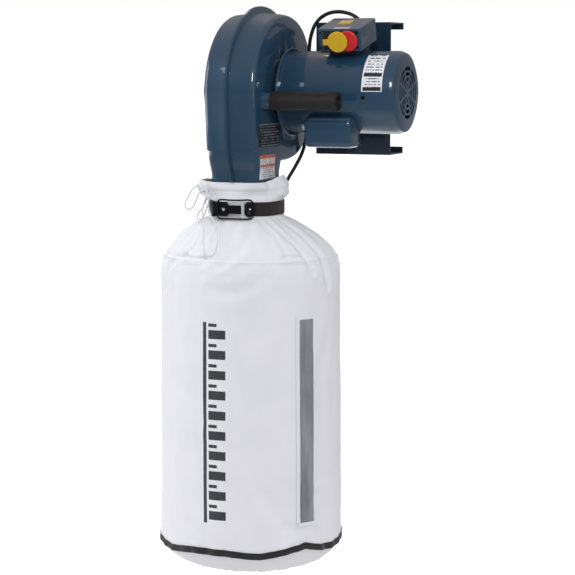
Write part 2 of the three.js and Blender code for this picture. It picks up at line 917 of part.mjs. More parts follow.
// The catch is a plate bent to the strap, with two horns that hold the bail's end.
const plateR = BELT.rOut + GAP + 3;
const horn = (low, high) =>
  block([-3.5, 3.5], [-plateR - 6, -plateR + 1], [low, high])
    .rotate([0, 0, 26.5])
    .translate([...strapCentre, 0]);
add(
  "buckle_catch",
  join(
    strip([plateR - 3, plateR], [atFront(20), atFront(36)], [-11, 11], strapCentre, 4),
    horn(7, 14.5),
    horn(-14.5, -7),
  ),
  "blackSteel",
  buckle,
);
add("buckle_pin", bar("z", 2, [-15, 15], [PIN_X, PIN_Y], 12), "blackSteel", buckle);
// The lever's tongue bridges the gap, and its two ears carry the bail's ends.
const BAIL_X = -23.5;
const BAIL_Y = -10.5;
add(
  "buckle_lever",
  cut(
    join(
      block([PIN_X, 27], [PIN_Y - 4, PIN_Y - 1.2], [-8.5, 8.5]),
      block([PIN_X, 0], [PIN_Y - 4, PIN_Y - 1.2], [-10.5, 10.5]),
      bar("z", 3.8, [-10.5, 10.5], [PIN_X, PIN_Y], 16),
      block([PIN_X, BAIL_X + 4], [BAIL_Y - 3.6, PIN_Y], [-10.5, 10.5]),
    ),
    bar("z", 2.3, [-20, 20], [PIN_X, PIN_Y], 12),
    bar("z", 2.6, [-20, 20], [BAIL_X, BAIL_Y], 12),
    block([-26, -19], [PIN_Y - 1.3, 4], [-6, 6]),
  ),
  "blackSteel",
  buckle,
);
// The bail is one bent wire; its sides follow the strap and its end lies behind the horns.
const bailEnd = [45.5, 7.2];
const bailHalf = 18.5;
function bailLeg(s) {
  return swept(
    [
      [BAIL_X, BAIL_Y, 0],
      [BAIL_X, BAIL_Y, s * (bailHalf - 4)],
      [BAIL_X + 4, BAIL_Y, s * bailHalf],
      [4, -9.5, s * bailHalf],
      [26, -5.5, s * bailHalf],
      [41.5, 3.4, s * bailHalf],
      [...bailEnd, s * (bailHalf - 4.5)],
      [...bailEnd, 0],
    ],
    1.7,
    8,
    16,
  );
}
add("buckle_bail", join(bailLeg(1), bailLeg(-1)), "blackSteel", buckle);

// ---------------------------------------------------------------- drawstring
// One cord: out of the hem at the left, two short loops and one long hanging loop, back into the hem.
// Its points are [across, forward, height] from the neck's middle, in axes turned to face the buckle's
// right-hand side, where across runs to the right and forward runs away from the wall.
const DRAWSTRING_TURN = 22 * DEG;
const DRAWSTRING_ROUTE = [
  [-87, 13, -188],
  [-92, 16, -185],
  [-105, 20, -190],
  [-117, 22, -208],
  [-123, 24, -222],
  [-120, 26, -231],
  [-111, 27, -231],
  [-103, 28, -221],
  [-98, 29, -206],
  [-90, 32, -196],
  [-81, 36, -193],
  [-78, 40, -203],
  [-83, 40, -220],
  [-93, 40, -236],
  [-98, 41, -246],
  [-94, 43, -252],
  [-87, 45, -247],
  [-80, 44, -232],
  [-75, 45, -214],
  [-74, 49, -203],
  [-75, 54, -212],
  [-74, 55, -228],
  [-69, 61, -243],
  [-62, 82, -255],
  [-57, 107, -268],
  [-55, 128, -283],
  [-57, 143, -299],
  [-63, 151, -311],
  [-71, 150, -315],
  [-78, 143, -309],
  [-82, 128, -294],
  [-83, 108, -278],
  [-84, 84, -263],
  [-86, 64, -250],
  [-87, 54, -236],
  [-84, 50, -218],
  [-80, 48, -206],
].map(([across, forward, z]) => [
  MID_X + across * cos(DRAWSTRING_TURN) + forward * sin(DRAWSTRING_TURN),
  OUTLET.y + across * sin(DRAWSTRING_TURN) - forward * cos(DRAWSTRING_TURN),
  z,
]);
add("drawstring", swept(DRAWSTRING_ROUTE, DRAWSTRING_R, 6, 60), "fabric");

// ---------------------------------------------------------------- power cord
// Out of the gland, over in a loop, down between housing and bracket, then close behind the bag.
const glandMouth = new THREE.Vector3(42, D + 24 + GAP, 26)
  .applyAxisAngle(new THREE.Vector3(1, 0, 0), BOX.tilt * DEG)
  .add(new THREE.Vector3(...BOX.at));
const HANK = { x: -54, y: 147, top: -374, height: 138, width: 54, depth: 32 };
const CORD_ROUTE = [
  glandMouth.toArray(),
  [134, 66, 143],
  [118, 76, 154],
  [96, 82, 161],
  [72, 84, 162],
  [50, 84, 155],
  [33, 84, 140],
  [22, 86, 118],
  [16, 89, 90],
  [14, 94, 50],
  [13, 97, 0],
  [12, 94, -50],
  [9, 89, -95],
  [2, 83, -128],
  [-11, 76, -157],
  [-28, 74, -186],
  [-42, 78, -218],
  [-51, 92, -258],
  [-51, 113, -300],
  [-44, 124, -338],
  [-37, 128, HANK.top + 6],
];
add("power_cord", swept(CORD_ROUTE, CORD_R, 8, 40), "cordSheath");
const waist = 15;
const hankShape = new THREE.Shape();
const lobe = HANK.width / 2;
hankShape.moveTo(waist, 0);
hankShape.bezierCurveTo(waist, 26, lobe, 22, lobe, 46);
hankShape.bezierCurveTo(lobe, 76.6, -lobe, 76.6, -lobe, 46);
hankShape.bezierCurveTo(-lobe, 22, -waist, 26, -waist, 0);
hankShape.bezierCurveTo(-waist, -26, -lobe, -22, -lobe, -46);
hankShape.bezierCurveTo(-lobe, -76.6, lobe, -76.6, lobe, -46);
hankShape.bezierCurveTo(lobe, -22, waist, -26, waist, 0);
const hankMiddle = HANK.top - HANK.height / 2;
add(
  "cord_hank",
  solid(
    raised(hankShape, HANK.depth, { curveSegments: 8 })
      .rotateX(PI / 2)
      .translate(HANK.x, HANK.y + HANK.depth / 2, hankMiddle),
  ),
  "cordSheath",
);
const tieHalf = 7;
add(
  "cord_tie",
  cut(
    block(
      [HANK.x - 20.5, HANK.x + 20.5],
      [HANK.y - 18.5, HANK.y + 18.5],
      [hankMiddle - tieHalf, hankMiddle + tieHalf],
    ),
    block(
      [HANK.x - 17.6, HANK.x + 17.6],
      [HANK.y - 16.4, HANK.y + 16.4],
      [hankMiddle - 20, hankMiddle + 20],
    ),
  ),
  "blackPlastic",
);
const PLUG_TOP = -566;
add(
  "cord_tail",
  swept(
    [HANK.top - HANK.height - GAP, -528, -546, PLUG_TOP + GAP].map((z) => [HANK.x, HANK.y, z]),
    CORD_R,
    8,
    6,
  ),
  "cordSheath",
);
const plugFace = PLUG_TOP - 50;
const blade = (x, y) =>
  block([x - 0.8, x + 0.8], [y - 3.2, y + 3.2], [plugFace - 16, plugFace + 2]);
const plugBody = join(
  solid(
    raised(roundedRectangle(27, 24, 8), 34, {
      bevelEnabled: true,
      bevelThickness: 4,
      bevelSize: 4,
      bevelOffset: -4,
      bevelSegments: 2,
      curveSegments: 4,
    }).translate(HANK.x, HANK.y, plugFace + 4),
  ),
  turned("z", [[0, PLUG_TOP - 12], [9, PLUG_TOP - 12], [5.5, PLUG_TOP], [0, PLUG_TOP]], 20, [
    HANK.x,
    HANK.y,
  ]),
);
add(
  "plug",
  join(
    plugBody,
    blade(HANK.x - 6.35, HANK.y - 3),
    blade(HANK.x + 6.35, HANK.y - 3),
    bar("z", 2.4, [plugFace - 19, plugFace + 2], [HANK.x, HANK.y + 7.5], 12),
  ),
  "blackPlastic",
);

// ---------------------------------------------------------------- the whole object
machine.position.set(
  -(BRACKET_X[0] + BRACKET_X[1]) / 2,
  -WALL_Y,
  -(BRACKET_Z[1] - LIP / 2),
);
const dustCollector = new THREE.Group();
dustCollector.add(machine);

export default dustCollector;
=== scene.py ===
import json
import math

import bpy
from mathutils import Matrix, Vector, noise


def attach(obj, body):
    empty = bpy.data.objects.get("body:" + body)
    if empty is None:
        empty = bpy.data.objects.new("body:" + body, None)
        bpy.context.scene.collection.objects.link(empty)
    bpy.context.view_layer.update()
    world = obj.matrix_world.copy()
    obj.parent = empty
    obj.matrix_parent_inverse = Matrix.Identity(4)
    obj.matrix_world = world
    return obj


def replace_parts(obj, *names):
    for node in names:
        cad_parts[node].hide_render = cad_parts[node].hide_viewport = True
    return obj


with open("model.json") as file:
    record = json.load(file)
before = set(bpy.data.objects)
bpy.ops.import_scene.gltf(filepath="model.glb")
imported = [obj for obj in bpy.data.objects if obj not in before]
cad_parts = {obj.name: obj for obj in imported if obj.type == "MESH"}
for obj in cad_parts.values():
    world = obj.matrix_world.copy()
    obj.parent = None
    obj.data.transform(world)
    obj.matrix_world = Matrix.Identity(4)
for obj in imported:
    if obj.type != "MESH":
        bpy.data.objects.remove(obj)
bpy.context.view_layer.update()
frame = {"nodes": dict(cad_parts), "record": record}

# A wall-hung dust collector: a scroll fan housing with its motor on a wall bracket, and a cloth bag
# belted to the outlet. Metres, +Z up, +X along the motor's axis, +Y to the wall. at() takes the
# machine's own millimetres, counted from where the motor's axis meets the housing.
nodes = frame["nodes"]


def at(x, y, z):
    return Vector(((x - 110) / 1000, (y - 178) / 1000, (z - 134) / 1000))


def tint(r, g, b):
    """A display colour, 0 to 255 each, as a linear colour."""
    def linear(v):
        v /= 255
        return v / 12.92 if v <= 0.04045 else ((v + 0.055) / 1.055) ** 2.4
    return (linear(r), linear(g), linear(b), 1.0)


def ease(v, low, high):
    """0 below low, 1 above high, and a smooth step between."""
    t = min(1.0, max(0.0, (v - low) / (high - low)))
    return t * t * (3 - 2 * t)


# ---------------------------------------------------------------- camera
AZIMUTH, PITCH = math.radians(22), math.radians(6.828)
LENS, SENSOR = 118.96, 36
CAMERA_AT = (1.3462, -3.7742, -0.0695)


def set_camera():
    data = bpy.data.cameras.new("studio_camera")
    data.lens, data.sensor_width = LENS, SENSOR
    data.clip_start, data.clip_end = 0.1, 200
    camera = bpy.data.objects.new("studio_camera", data)
    bpy.context.scene.collection.objects.link(camera)
    forward = Vector((
        -math.sin(AZIMUTH) * math.cos(PITCH),
        math.cos(AZIMUTH) * math.cos(PITCH),
        -math.sin(PITCH),
    ))
    camera.location = CAMERA_AT
    camera.rotation_euler = forward.to_track_quat("-Z", "Y").to_euler()
    bpy.context.scene.camera = camera


set_camera()


# ---------------------------------------------------------------- finishes
class Field:
    """A number, colour or vector that runs through a finish's nodes. Operators add its maths."""

    def __init__(self, finish, socket):
        self.finish, self.socket = finish, socket

    def maths(self, operation, *terms):
        sockets = dict(enumerate((self, *terms)))
        return self.finish.node("ShaderNodeMath", {"operation": operation}, sockets)

    def __add__(self, other):
        return self.maths("ADD", other)

    __radd__ = __add__

    def __sub__(self, other):
        return self.maths("SUBTRACT", other)

    def __rsub__(self, other):
        flipped = {0: other, 1: self}
        return self.finish.node("ShaderNodeMath", {"operation": "SUBTRACT"}, flipped)

    def __mul__(self, other):
        return self.maths("MULTIPLY", other)

    __rmul__ = __mul__

    def __truediv__(self, other):
        return self.maths("DIVIDE", other)

    def __pow__(self, other):
        return self.maths("POWER", other)

    def __gt__(self, other):
        return self.maths("GREATER_THAN", other)

    def __lt__(self, other):
        return self.maths("LESS_THAN", other)

    def sine(self, pitch):
        """A wave from 0 to 1 that repeats every pitch."""
        return (self * (2 * math.pi / pitch)).maths("SINE") * 0.5 + 0.5

    def fraction(self):
        return self.maths("FRACT")

    def within(self, low, high):
        return (self > low) * (self < high)

    def ramp(self, low, high):
        """0 below low, 1 above high, straight between."""
        return self.finish.node(
            "ShaderNodeMapRange", {"clamp": True}, {"Value": self, "From Min": low, "From Max": high}
        )


class Finish:
    """A procedural material: constants on the shader's own sockets, and fields for what varies."""

    def __init__(self, name, **constants):
        self.material = bpy.data.materials.new(name)
        self.material.use_nodes = True
        self.tree = self.material.node_tree
        self.shader = self.tree.nodes["Principled BSDF"]
        for socket, value in constants.items():
            self.shader.inputs[socket.replace("_", " ")].default_value = value
        self.place = self.node("ShaderNodeTexCoord", out="Object")
        self.x, self.y, self.z = (
            self.node("ShaderNodeSeparateXYZ", (), {0: self.place}, out=i) for i in range(3)
        )
        self.bumps = None

    def node(self, kind, settings=(), sockets=(), out=0):
        made = self.tree.nodes.new(kind)
        for name, value in dict(settings).items():
            setattr(made, name, value)
        for key, value in dict(sockets).items():
            if isinstance(value, Field):
                self.tree.links.new(value.socket, made.inputs[key])
            else:
                made.inputs[key].default_value = value
        return Field(self, made.outputs[out])

    def cloud(self, scale, detail=3.0, roughness=0.5, stretch=(1, 1, 1)):
        """Soft noise, scale cells to the metre, drawn out along an axis by a small stretch."""
        where = self.place
        if stretch != (1, 1, 1):
            where = self.node(
                "ShaderNodeVectorMath", {"operation": "MULTIPLY"}, {0: self.place, 1: stretch}
            )
        return self.node(
            "ShaderNodeTexNoise",
            (),
            {"Vector": where, "Scale": scale, "Detail": detail, "Roughness": roughness},
        )

    def between(self, first, second, share):
        """The colour from first to second by a share."""
        made = self.tree.nodes.new("ShaderNodeMix")
        made.data_type = "RGBA"
        for socket, value in ((0, share), (6, first), (7, second)):
            if isinstance(value, Field):
                self.tree.links.new(value.socket, made.inputs[socket])
            else:
                made.inputs[socket].default_value = value
        return Field(self, made.outputs[2])

    def feed(self, socket, field):
        self.tree.links.new(field.socket, self.shader.inputs[socket])
        return self

    def relief(self, height, depth, strength=1.0):
        """Adds a bump whose full height stands depth metres proud."""
        sockets = {"Height": height, "Distance": depth, "Strength": strength}
        if self.bumps:
            sockets["Normal"] = self.bumps
        self.bumps = self.node("ShaderNodeBump", (), sockets)
        return self.feed("Normal", self.bumps)


def enamel(name, deep, lit, roughness=0.24):
    f = Finish(name, Coat_Weight=0.9, Coat_Roughness=0.03, IOR=1.5, Specular_IOR_Level=0.2)
    patches = f.cloud(9, 4)
    specks = f.cloud(900, 1).ramp(0.7, 0.78)
    f.feed("Base Color", f.between(f.between(deep, lit, patches), tint(90, 104, 116), specks * 0.1))
    f.feed("Roughness", roughness + patches * 0.1 + f.cloud(160, 2) * 0.06)
    return f.relief(f.cloud(420, 2), 0.000015).relief(f.cloud(45, 2), 0.00004)


def moulded(name, colour, roughness=0.42, grain=1500, depth=0.00005, shade=0.75):
    f = Finish(name, IOR=1.48)
    dark = tuple(c * shade for c in colour[:3]) + (1.0,)
    f.feed("Base Color", f.between(dark, colour, f.cloud(30, 4)))
    f.feed("Roughness", roughness - 0.06 + f.cloud(55, 4) * 0.16)
    return f.relief(f.cloud(grain, 2), depth)


def metal(name, colour, roughness=0.35, brushed=(1, 1, 1), scale=500):
    f = Finish(name, Metallic=0.9)
    streaks = f.cloud(scale, 3, stretch=brushed)
    dark = tuple(c * 0.62 for c in colour[:3]) + (1.0,)
    f.feed("Base Color", f.between(dark, colour, streaks.ramp(0.3, 0.7)))
    f.feed("Roughness", roughness - 0.1 + streaks * 0.2 + f.cloud(14, 3) * 0.08)
    return f.relief(streaks, 0.00005)


def grip_rubber():
    f = Finish("grip_rubber", IOR=1.45)
    rings = f.x.sine(0.0021)
    # the colour is darker in the bottoms of the grooves and lighter on their crests: painted shade, mixed
    # half and half with random tone
    f.feed("Base Color", f.between(tint(15, 14, 15), tint(37, 34, 36), rings * 0.5 + f.cloud(70) * 0.5))
    f.feed("Roughness", 0.48 + f.cloud(240, 3) * 0.2)
    return f.relief(rings, 0.0003).relief(f.cloud(1300, 2), 0.0001)


def round_axis(f, centre):
    """The angle round an upright axis, in radians, and the distance from it."""
    across, along = f.x - centre.x, f.y - centre.y
    angle = along.maths("ARCTAN2", across)
    return angle, (across * across + along * along) ** 0.5


BAG_X, BAG_Y = -50, -66  # the bag's axis
NECK_X, NECK_Y = -55, -76  # the outlet's axis, which the gathered neck and the belt go round
BAG_AXIS = at(BAG_X, BAG_Y, 0)
NECK_AXIS = at(NECK_X, NECK_Y, 0)
BAG_R, TAPE_R, BELT_R = 0.186, 0.187, 0.0765
MARKS_FOOT, MARKS_TALL, MARKS_PITCH = -843, 0.4, 0.04  # the printed column of level marks


def bag_cloth():
    """White felted cloth, with a printed column of plain level marks up the bag's front."""
    f = Finish("bag_cloth", Sheen_Weight=0.25, Sheen_Roughness=0.6, Specular_IOR_Level=0.25)
    angle, _ = round_axis(f, BAG_AXIS)
    arc = angle * BAG_R
    off = arc - math.radians(-90) * BAG_R
    up = f.z - at(0, 0, MARKS_FOOT).z
    inside = up.within(0.0, MARKS_TALL)
    step = (up / MARKS_PITCH).fraction()
    spine = off.within(-0.024, -0.0165)
    rungs = off.within(-0.012, 0.024) * step.within(0.18, 0.62)
    short = off.within(-0.012, 0.006) * step.within(0.78, 0.94)
    ink = inside * (spine + rungs + short).maths("MINIMUM", 1.0)
    worn = ink * (f.cloud(420, 3).ramp(0.2, 0.36) * 0.25 + 0.75)
    threads = arc.sine(0.0011) * f.z.sine(0.0011)
    felt = f.cloud(650, 4, 0.7)
    white = f.between(tint(228, 229, 235), tint(243, 243, 247), f.cloud(16, 4) * 0.6 + felt * 0.4)
    f.feed("Base Color", f.between(white, tint(55, 56, 62), worn))
    f.feed("Roughness", 0.86 + felt * 0.12)
    f.relief(f.cloud(26, 3), 0.0014).relief(felt, 0.0003)
    return f.relief(threads, 0.00012)


def tape(name, dark, light, axis, radius):
    """Woven tape round an upright axis: fine ribs across it and a twill along it."""
    f = Finish(name, Sheen_Weight=0.15, Sheen_Roughness=0.5, Specular_IOR_Level=0.3)
    angle, _ = round_axis(f, axis)
    arc = angle * radius
    ribs = arc.sine(0.0019)
    twill = (arc + f.z * 1.3).sine(0.0026)
    weave = ribs * 0.6 + twill * 0.4
    # the colour follows the weave, darker in its hollows and lighter on its ridges: painted shade, with
    # some random tone
    f.feed("Base Color", f.between(dark, light, weave * 0.7 + f.cloud(90, 3) * 0.3))
    f.feed("Roughness", 0.62 + f.cloud(300, 2) * 0.2)
    return f.relief(weave, 0.00035)


def film():
    """See-through film, grey with the dust behind it."""
    f = Finish("window_film", Coat_Weight=0.5, Coat_Roughness=0.12, IOR=1.46)
    smear = f.cloud(14, 5, 0.6, (1.6, 1.6, 0.35))
    f.feed("Base Color", f.between(tint(104, 105, 109), tint(150, 151, 156), smear.ramp(0.32, 0.66)))
    f.feed("Roughness", 0.2 + smear * 0.2)
    return f.relief(f.cloud(35, 2, 0.5, (1, 1, 0.3)), 0.0012)


def braid(name, dark, light, roughness=0.7, scale=700, depth=0.0002):
    f = Finish(name, Specular_IOR_Level=0.35)
    strands = (f.x + f.z * 0.8).sine(0.0016) * 0.5 + (f.y - f.z * 0.8).sine(0.0016) * 0.5
    # the colour follows the strands, darker between them and lighter on their crests: painted shade, with
    # some random tone
    f.feed("Base Color", f.between(dark, light, strands * 0.5 + f.cloud(scale, 2) * 0.5))
    f.feed("Roughness", roughness + f.cloud(200, 2) * 0.15)
    return f.relief(strands, depth)


def printed(name, paper, ink, across, up, rows, fill, accent, bands):
    """A label of plain rows: bars of ink broken into blocks, with solid bands between.

    across and up name the two axes and their spans in metres."""
    f = Finish(name, Coat_Weight=0.3, Coat_Roughness=0.2)
    (axis_u, u0, u1), (axis_v, v0, v1) = across, up
    u = (getattr(f, axis_u) - u0) / (u1 - u0)
    v = (getattr(f, axis_v) - v0) / (v1 - v0)
    row = (v * rows).maths("FLOOR")
    level = (v * rows).fraction()
    block = (u * 19 + row * 7.3).maths("FLOOR")
    scatter = ((block * 12.9 + row * 78.2).maths("SINE") * 43758.5).fraction()
    bars = level.within(0.3, 0.3 + fill) * (scatter > 0.3) * u.within(0.08, 0.92)
    first, *rest = [v.within(low, high) * u.within(0.03, 0.97) for low, high in bands]
    solid = sum(rest, first).maths("MINIMUM", 1.0)
    f.feed("Base Color", f.between(f.between(paper, ink, bars * 0.85), accent, solid))
    f.feed("Roughness", 0.32 + f.cloud(120, 3) * 0.15)
    return f.relief(f.cloud(300, 2), 0.00003)


FINISHES = {
    "paint": enamel("blue_enamel", tint(30, 60, 84), tint(38, 72, 98)),
    "dark_paint": enamel("dark_blue_enamel", tint(22, 42, 60), tint(30, 54, 74), 0.3),
    "steel": metal("machined_steel", tint(176, 178, 180), 0.35, (0.1, 1, 1)),
    "zinc": metal("zinc_plate", tint(205, 206, 205), 0.32),
    "cast_aluminium": metal("cast_aluminium", tint(160, 162, 165), 0.5, scale=240),
    "laminations": metal("core_laminations", tint(110, 112, 116), 0.5, (14, 0.3, 0.3), 160),
    "copper": metal("winding_copper", tint(190, 118, 66), 0.35, (9, 1, 1), 120),
    "black_plastic": moulded("black_plastic", tint(36, 37, 40), 0.46),
    "rubber": grip_rubber(),
    "yellow_plastic": moulded("yellow_plastic", tint(216, 174, 30), 0.36, 900, 0.00003, 0.86),
    "red_plastic": moulded("red_plastic", tint(214, 34, 44), 0.3, 900, 0.00003, 0.86),
    "green_plastic": moulded("green_plastic", tint(40, 140, 76), 0.34, 900, 0.00003),
    "bag_cloth": bag_cloth(),
    "binding_tape": tape("binding_tape", tint(26, 26, 28), tint(50, 50, 53), BAG_AXIS, TAPE_R),
    "window_film": film(),
    "webbing": tape("belt_webbing", tint(20, 18, 18), tint(50, 45, 44), NECK_AXIS, BELT_R),
    "black_steel": metal("black_steel", tint(44, 44, 47), 0.34),
    "cord_sheath": moulded("cord_sheath", tint(24, 24, 25), 0.5, 500, 0.00008),
    "drawcord": braid("white_braid", tint(205, 206, 212), tint(247, 247, 250)),
    "bright_rivet": metal("bright_rivet", tint(226, 227, 230), 0.2),
}
SLOTS = {"drawcord": "bag_cloth", "bright_rivet": "zinc"}


# ---------------------------------------------------------------- making and settling pieces
def clear():
    if bpy.context.mode != "OBJECT":
        bpy.ops.object.mode_set(mode="OBJECT")
    bpy.ops.object.select_all(action="DESELECT")


def hold(piece):
    clear()
    piece.select_set(True)
    bpy.context.view_layer.objects.active = piece
    return piece


def applied(piece, kind, **settings):
    hold(piece)
    modifier = piece.modifiers.new(kind.lower(), kind)
    for name, value in settings.items():
        setattr(modifier, name, value)
    bpy.ops.object.modifier_apply(modifier=modifier.name)
    return piece


def smooth(piece, angle=35):
    hold(piece)
    bpy.ops.object.shade_smooth_by_angle(angle=math.radians(angle))
    return piece


def settle(piece, name, body, finish, *stands_for):
    """Names a finished piece, rests it at the origin, and gives it its finish and its body."""
    hold(piece)
    bpy.ops.object.transform_apply(location=True, rotation=True, scale=True)
    piece.name = piece.data.name = name
    material = finish if isinstance(finish, Finish) else FINISHES[finish]
    piece.data.materials.clear()
    piece.data.materials.append(material.material)
    slot = "paint" if isinstance(finish, Finish) else SLOTS.get(finish, finish)
    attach(piece, body)
    if stands_for:
        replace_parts(piece, *stands_for)
    return piece


def outward(piece):
    hold(piece)
    bpy.ops.object.mode_set(mode="EDIT")
    bpy.ops.mesh.select_all(action="SELECT")
    bpy.ops.mesh.remove_doubles(threshold=0.00001)
    bpy.ops.mesh.normals_make_consistent(inside=False)
    bpy.ops.object.mode_set(mode="OBJECT")
    return piece


def grid(across, up):
    """A sheet of across by up squares over the unit square from (0, 0) to (1, 1)."""
    clear()
    bpy.ops.mesh.primitive_grid_add(x_subdivisions=across, y_subdivisions=up, size=1)
    piece = bpy.context.object
    for v in piece.data.vertices:
        v.co.x, v.co.y = v.co.x + 0.5, v.co.y + 0.5
    return piece


def shaped(piece, move):
    for v in piece.data.vertices:
        v.co = move(v.co)
    return piece


# ---------------------------------------------------------------- power cord
CORD_D = 0.0076
GLAND_MOUTH = at(136, 51.407, 135.573)
CORD_ROUTE = [
    GLAND_MOUTH, at(134, 66, 143), at(118, 76, 154), at(96, 82, 161), at(72, 84, 162), at(50, 84, 155),
    at(33, 84, 140), at(22, 86, 118), at(16, 89, 90), at(14, 94, 50), at(13, 97, 0), at(12, 94, -50),
    at(9, 89, -95), at(2, 83, -128), at(-11, 76, -157), at(-28, 74, -186), at(-42, 78, -218),
    at(-51, 92, -258), at(-51, 113, -300), at(-44, 124, -338), at(-34, 129, -374), at(-30, 132, -400),
]
HANK_MIDDLE = -444
TURN = [  # half a turn of the hank, from its waist down: across from the middle, up from the middle
    (12, 0), (19, -22), (23, -40), (17, -57), (0, -64), (-17, -57), (-23, -40), (-19, -22),
    (-12, 0), (-19, 22), (-23, 40), (-17, 57), (0, 64), (17, 57), (23, 40), (19, 22),
]
TURNS = 3


def hank_points():
    points = []
    for i in range(TURNS * len(TURN) + 1):
        across, up = TURN[i % len(TURN)]
        points.append(at(-54 + across, 135 + 7.9 * i / len(TURN), HANK_MIDDLE + up))
    return points


def curve_through(points, name, thickness):
    data = bpy.data.curves.new(name, "CURVE")
    data.dimensions = "3D"
    data.bevel_depth, data.bevel_resolution, data.resolution_u = thickness / 2, 4, 8
    data.use_fill_caps = True
    spline = data.splines.new("BEZIER")
    spline.bezier_points.add(len(points) - 1)
    for knot, place in zip(spline.bezier_points, points):
        knot.co = place
        knot.handle_left_type = knot.handle_right_type = "AUTO"
    piece = bpy.data.objects.new(name, data)
    bpy.context.scene.collection.objects.link(piece)
    return piece


def power_cord():
    leaving = [at(-37, 160.5, -470), at(-41, 161.5, -492), at(-49, 162, -514), at(-53, 157, -534),
               at(-54, 149.5, -551), at(-54, 147, -566.2)]
    points = CORD_ROUTE + hank_points() + leaving
    piece = curve_through(points, "mains_cord", CORD_D)
    piece.data.materials.append(FINISHES["cord_sheath"].material)
    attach(piece, "machine")
    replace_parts(piece, "power_cord", "cord_hank", "cord_tail")
    return piece


mains_cord = power_cord()

# ---------------------------------------------------------------- drawstring
DRAW_D = 0.0036
DRAW_TURN = math.radians(22)
DRAW_ROUTE = [  # across, forward of the neck's middle and height, in axes turned to the buckle
    (-87, 13, -188), (-92, 16, -185), (-105, 20, -190), (-117, 22, -208), (-123, 24, -222),
    (-120, 26, -231), (-111, 27, -231), (-103, 28, -221), (-98, 29, -206), (-90, 32, -196),
    (-81, 36, -193), (-78, 40, -203), (-83, 40, -220), (-93, 40, -236), (-98, 41, -246),
    (-94, 43, -252), (-87, 45, -247), (-80, 44, -232), (-75, 45, -214), (-74, 49, -203),
    (-75, 54, -212), (-74, 55, -228), (-69, 61, -243), (-62, 82, -255), (-57, 107, -268),
    (-55, 128, -283), (-57, 143, -299), (-63, 151, -311), (-71, 150, -315), (-78, 143, -309),
    (-82, 128, -294), (-83, 108, -278), (-84, 84, -263), (-86, 64, -250), (-87, 54, -236),
    (-84, 50, -218), (-80, 48, -206),
]


def draw_place(across, forward, z):
    c, s = math.cos(DRAW_TURN), math.sin(DRAW_TURN)
    return at(NECK_X + across * c + forward * s, NECK_Y + across * s - forward * c, z)


def drawstring():
    piece = curve_through([draw_place(*p) for p in DRAW_ROUTE], "drawcord_loops", DRAW_D)
    piece.data.materials.append(FINISHES["drawcord"].material)
    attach(piece, "machine")
    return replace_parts(piece, "drawstring")


def drawstring_knot():
    """Two crossed wraps, pulled tight over the strands at the hem."""
    clear()
    bpy.ops.mesh.primitive_torus_add(
        major_segments=40, minor_segments=14, major_radius=0.0042, minor_radius=0.0021,
        location=draw_place(-79, 46, -204), rotation=(0.5, 0.3, 0.2),
    )
    first = bpy.context.object
    bpy.ops.mesh.primitive_torus_add(
        major_segments=40, minor_segments=14, major_radius=0.0038, minor_radius=0.0021,
        location=draw_place(-79, 47, -207.5), rotation=(-0.6, 0.7, 0.1),
    )
    second = hold(bpy.context.object)
    first.select_set(True)
    bpy.context.view_layer.objects.active = first
    bpy.ops.object.join()
    first = bpy.context.object
    return settle(first, "drawcord_knot", "machine", "drawcord")


drawcord = drawstring()
knot = drawstring_knot()
draw_place(*DRAW_ROUTE[0])

# ---------------------------------------------------------------- CAD nodes that stay
def dress(name, finish, edge):
    """Gives a CAD node smooth shading, eased edges and its finish. Its mesh stays as it is."""
    node = nodes[name]
    if "custom_normal" in node.data.attributes:
        hold(node)
        bpy.ops.mesh.customdata_custom_splitnormals_clear()
    node.data.polygons.foreach_set("use_smooth", [True] * len(node.data.polygons))
    weld = node.modifiers.new("weld", "WELD")
    weld.merge_threshold = 0.00001
    flat = node.modifiers.new("flat", "DECIMATE")
    flat.decimate_type, flat.angle_limit = "DISSOLVE", math.radians(1.5)
    if edge:
        ease_edges = node.modifiers.new("edges", "BEVEL")
        ease_edges.width, ease_edges.segments = edge, 2
        ease_edges.limit_method, ease_edges.angle_limit = "ANGLE", math.radians(38)
        ease_edges.harden_normals = False
    split = node.modifiers.new("split", "EDGE_SPLIT")
    split.split_angle = math.radians(32)
    node.data.materials.clear()
    node.data.materials.append(FINISHES[finish].material)


EDGES = {
    "housing_motor_half": 0.0006, "housing_inlet_half": 0.0006, "wall_bracket": 0.0006,
    "switch_box_cover": 0.0004, "switch_box_tray": 0.0004, "capacitor_cover": 0.0005, "plug": 0.0006,
    "buckle_base": 0.0004, "buckle_catch": 0.0004, "buckle_lever": 0.0004, "cord_tie": 0.0008,
    "switch_body": 0.0003, "switch_box_pedestal": 0.0005, "motor_foot": 0.0005,
}
for part in frame["record"]["subparts"]:
    dress(part["node"], part["material_slot"], EDGES.get(part["node"], 0))


# ---------------------------------------------------------------- filter bag
# Height and radius of the filled bag, from the hem down to the middle of its floor.
BAG_SIDE = [
    (-177, 74), (-196, 74), (-205, 74.2), (-214, 74.4), (-229, 73.6), (-243, 74),
    (-248, 78), (-253, 88), (-262, 104), (-272, 121), (-284, 137), (-298, 152.5), (-312, 165),
    (-326, 174), (-345, 180), (-370, 183), (-440, 184), (-600, 185), (-760, 186), (-860, 186.5),
    (-893, 187), (-905, 185.5), (-916, 179), (-928, 169.5), (-941, 154), (-951, 134), (-959, 107),
    (-964.5, 76), (-967.5, 40), (-968.5, 0.5),
]
BINDING = [  # angle in degrees and height of the sewn bottom edge
    (-180, -903), (-126, -909), (-104, -901), (-84, -901), (-62, -906.5), (-52, -903), (-40, -896),
    (-32, -893), (-18, -904), (-4, -907), (30, -900), (75, -906), (120, -899), (180, -903),
]
SEAM_Z = -322
HEM_Z = -195
BINDING_Z = -902  # about the middle of the sewn edge's waves


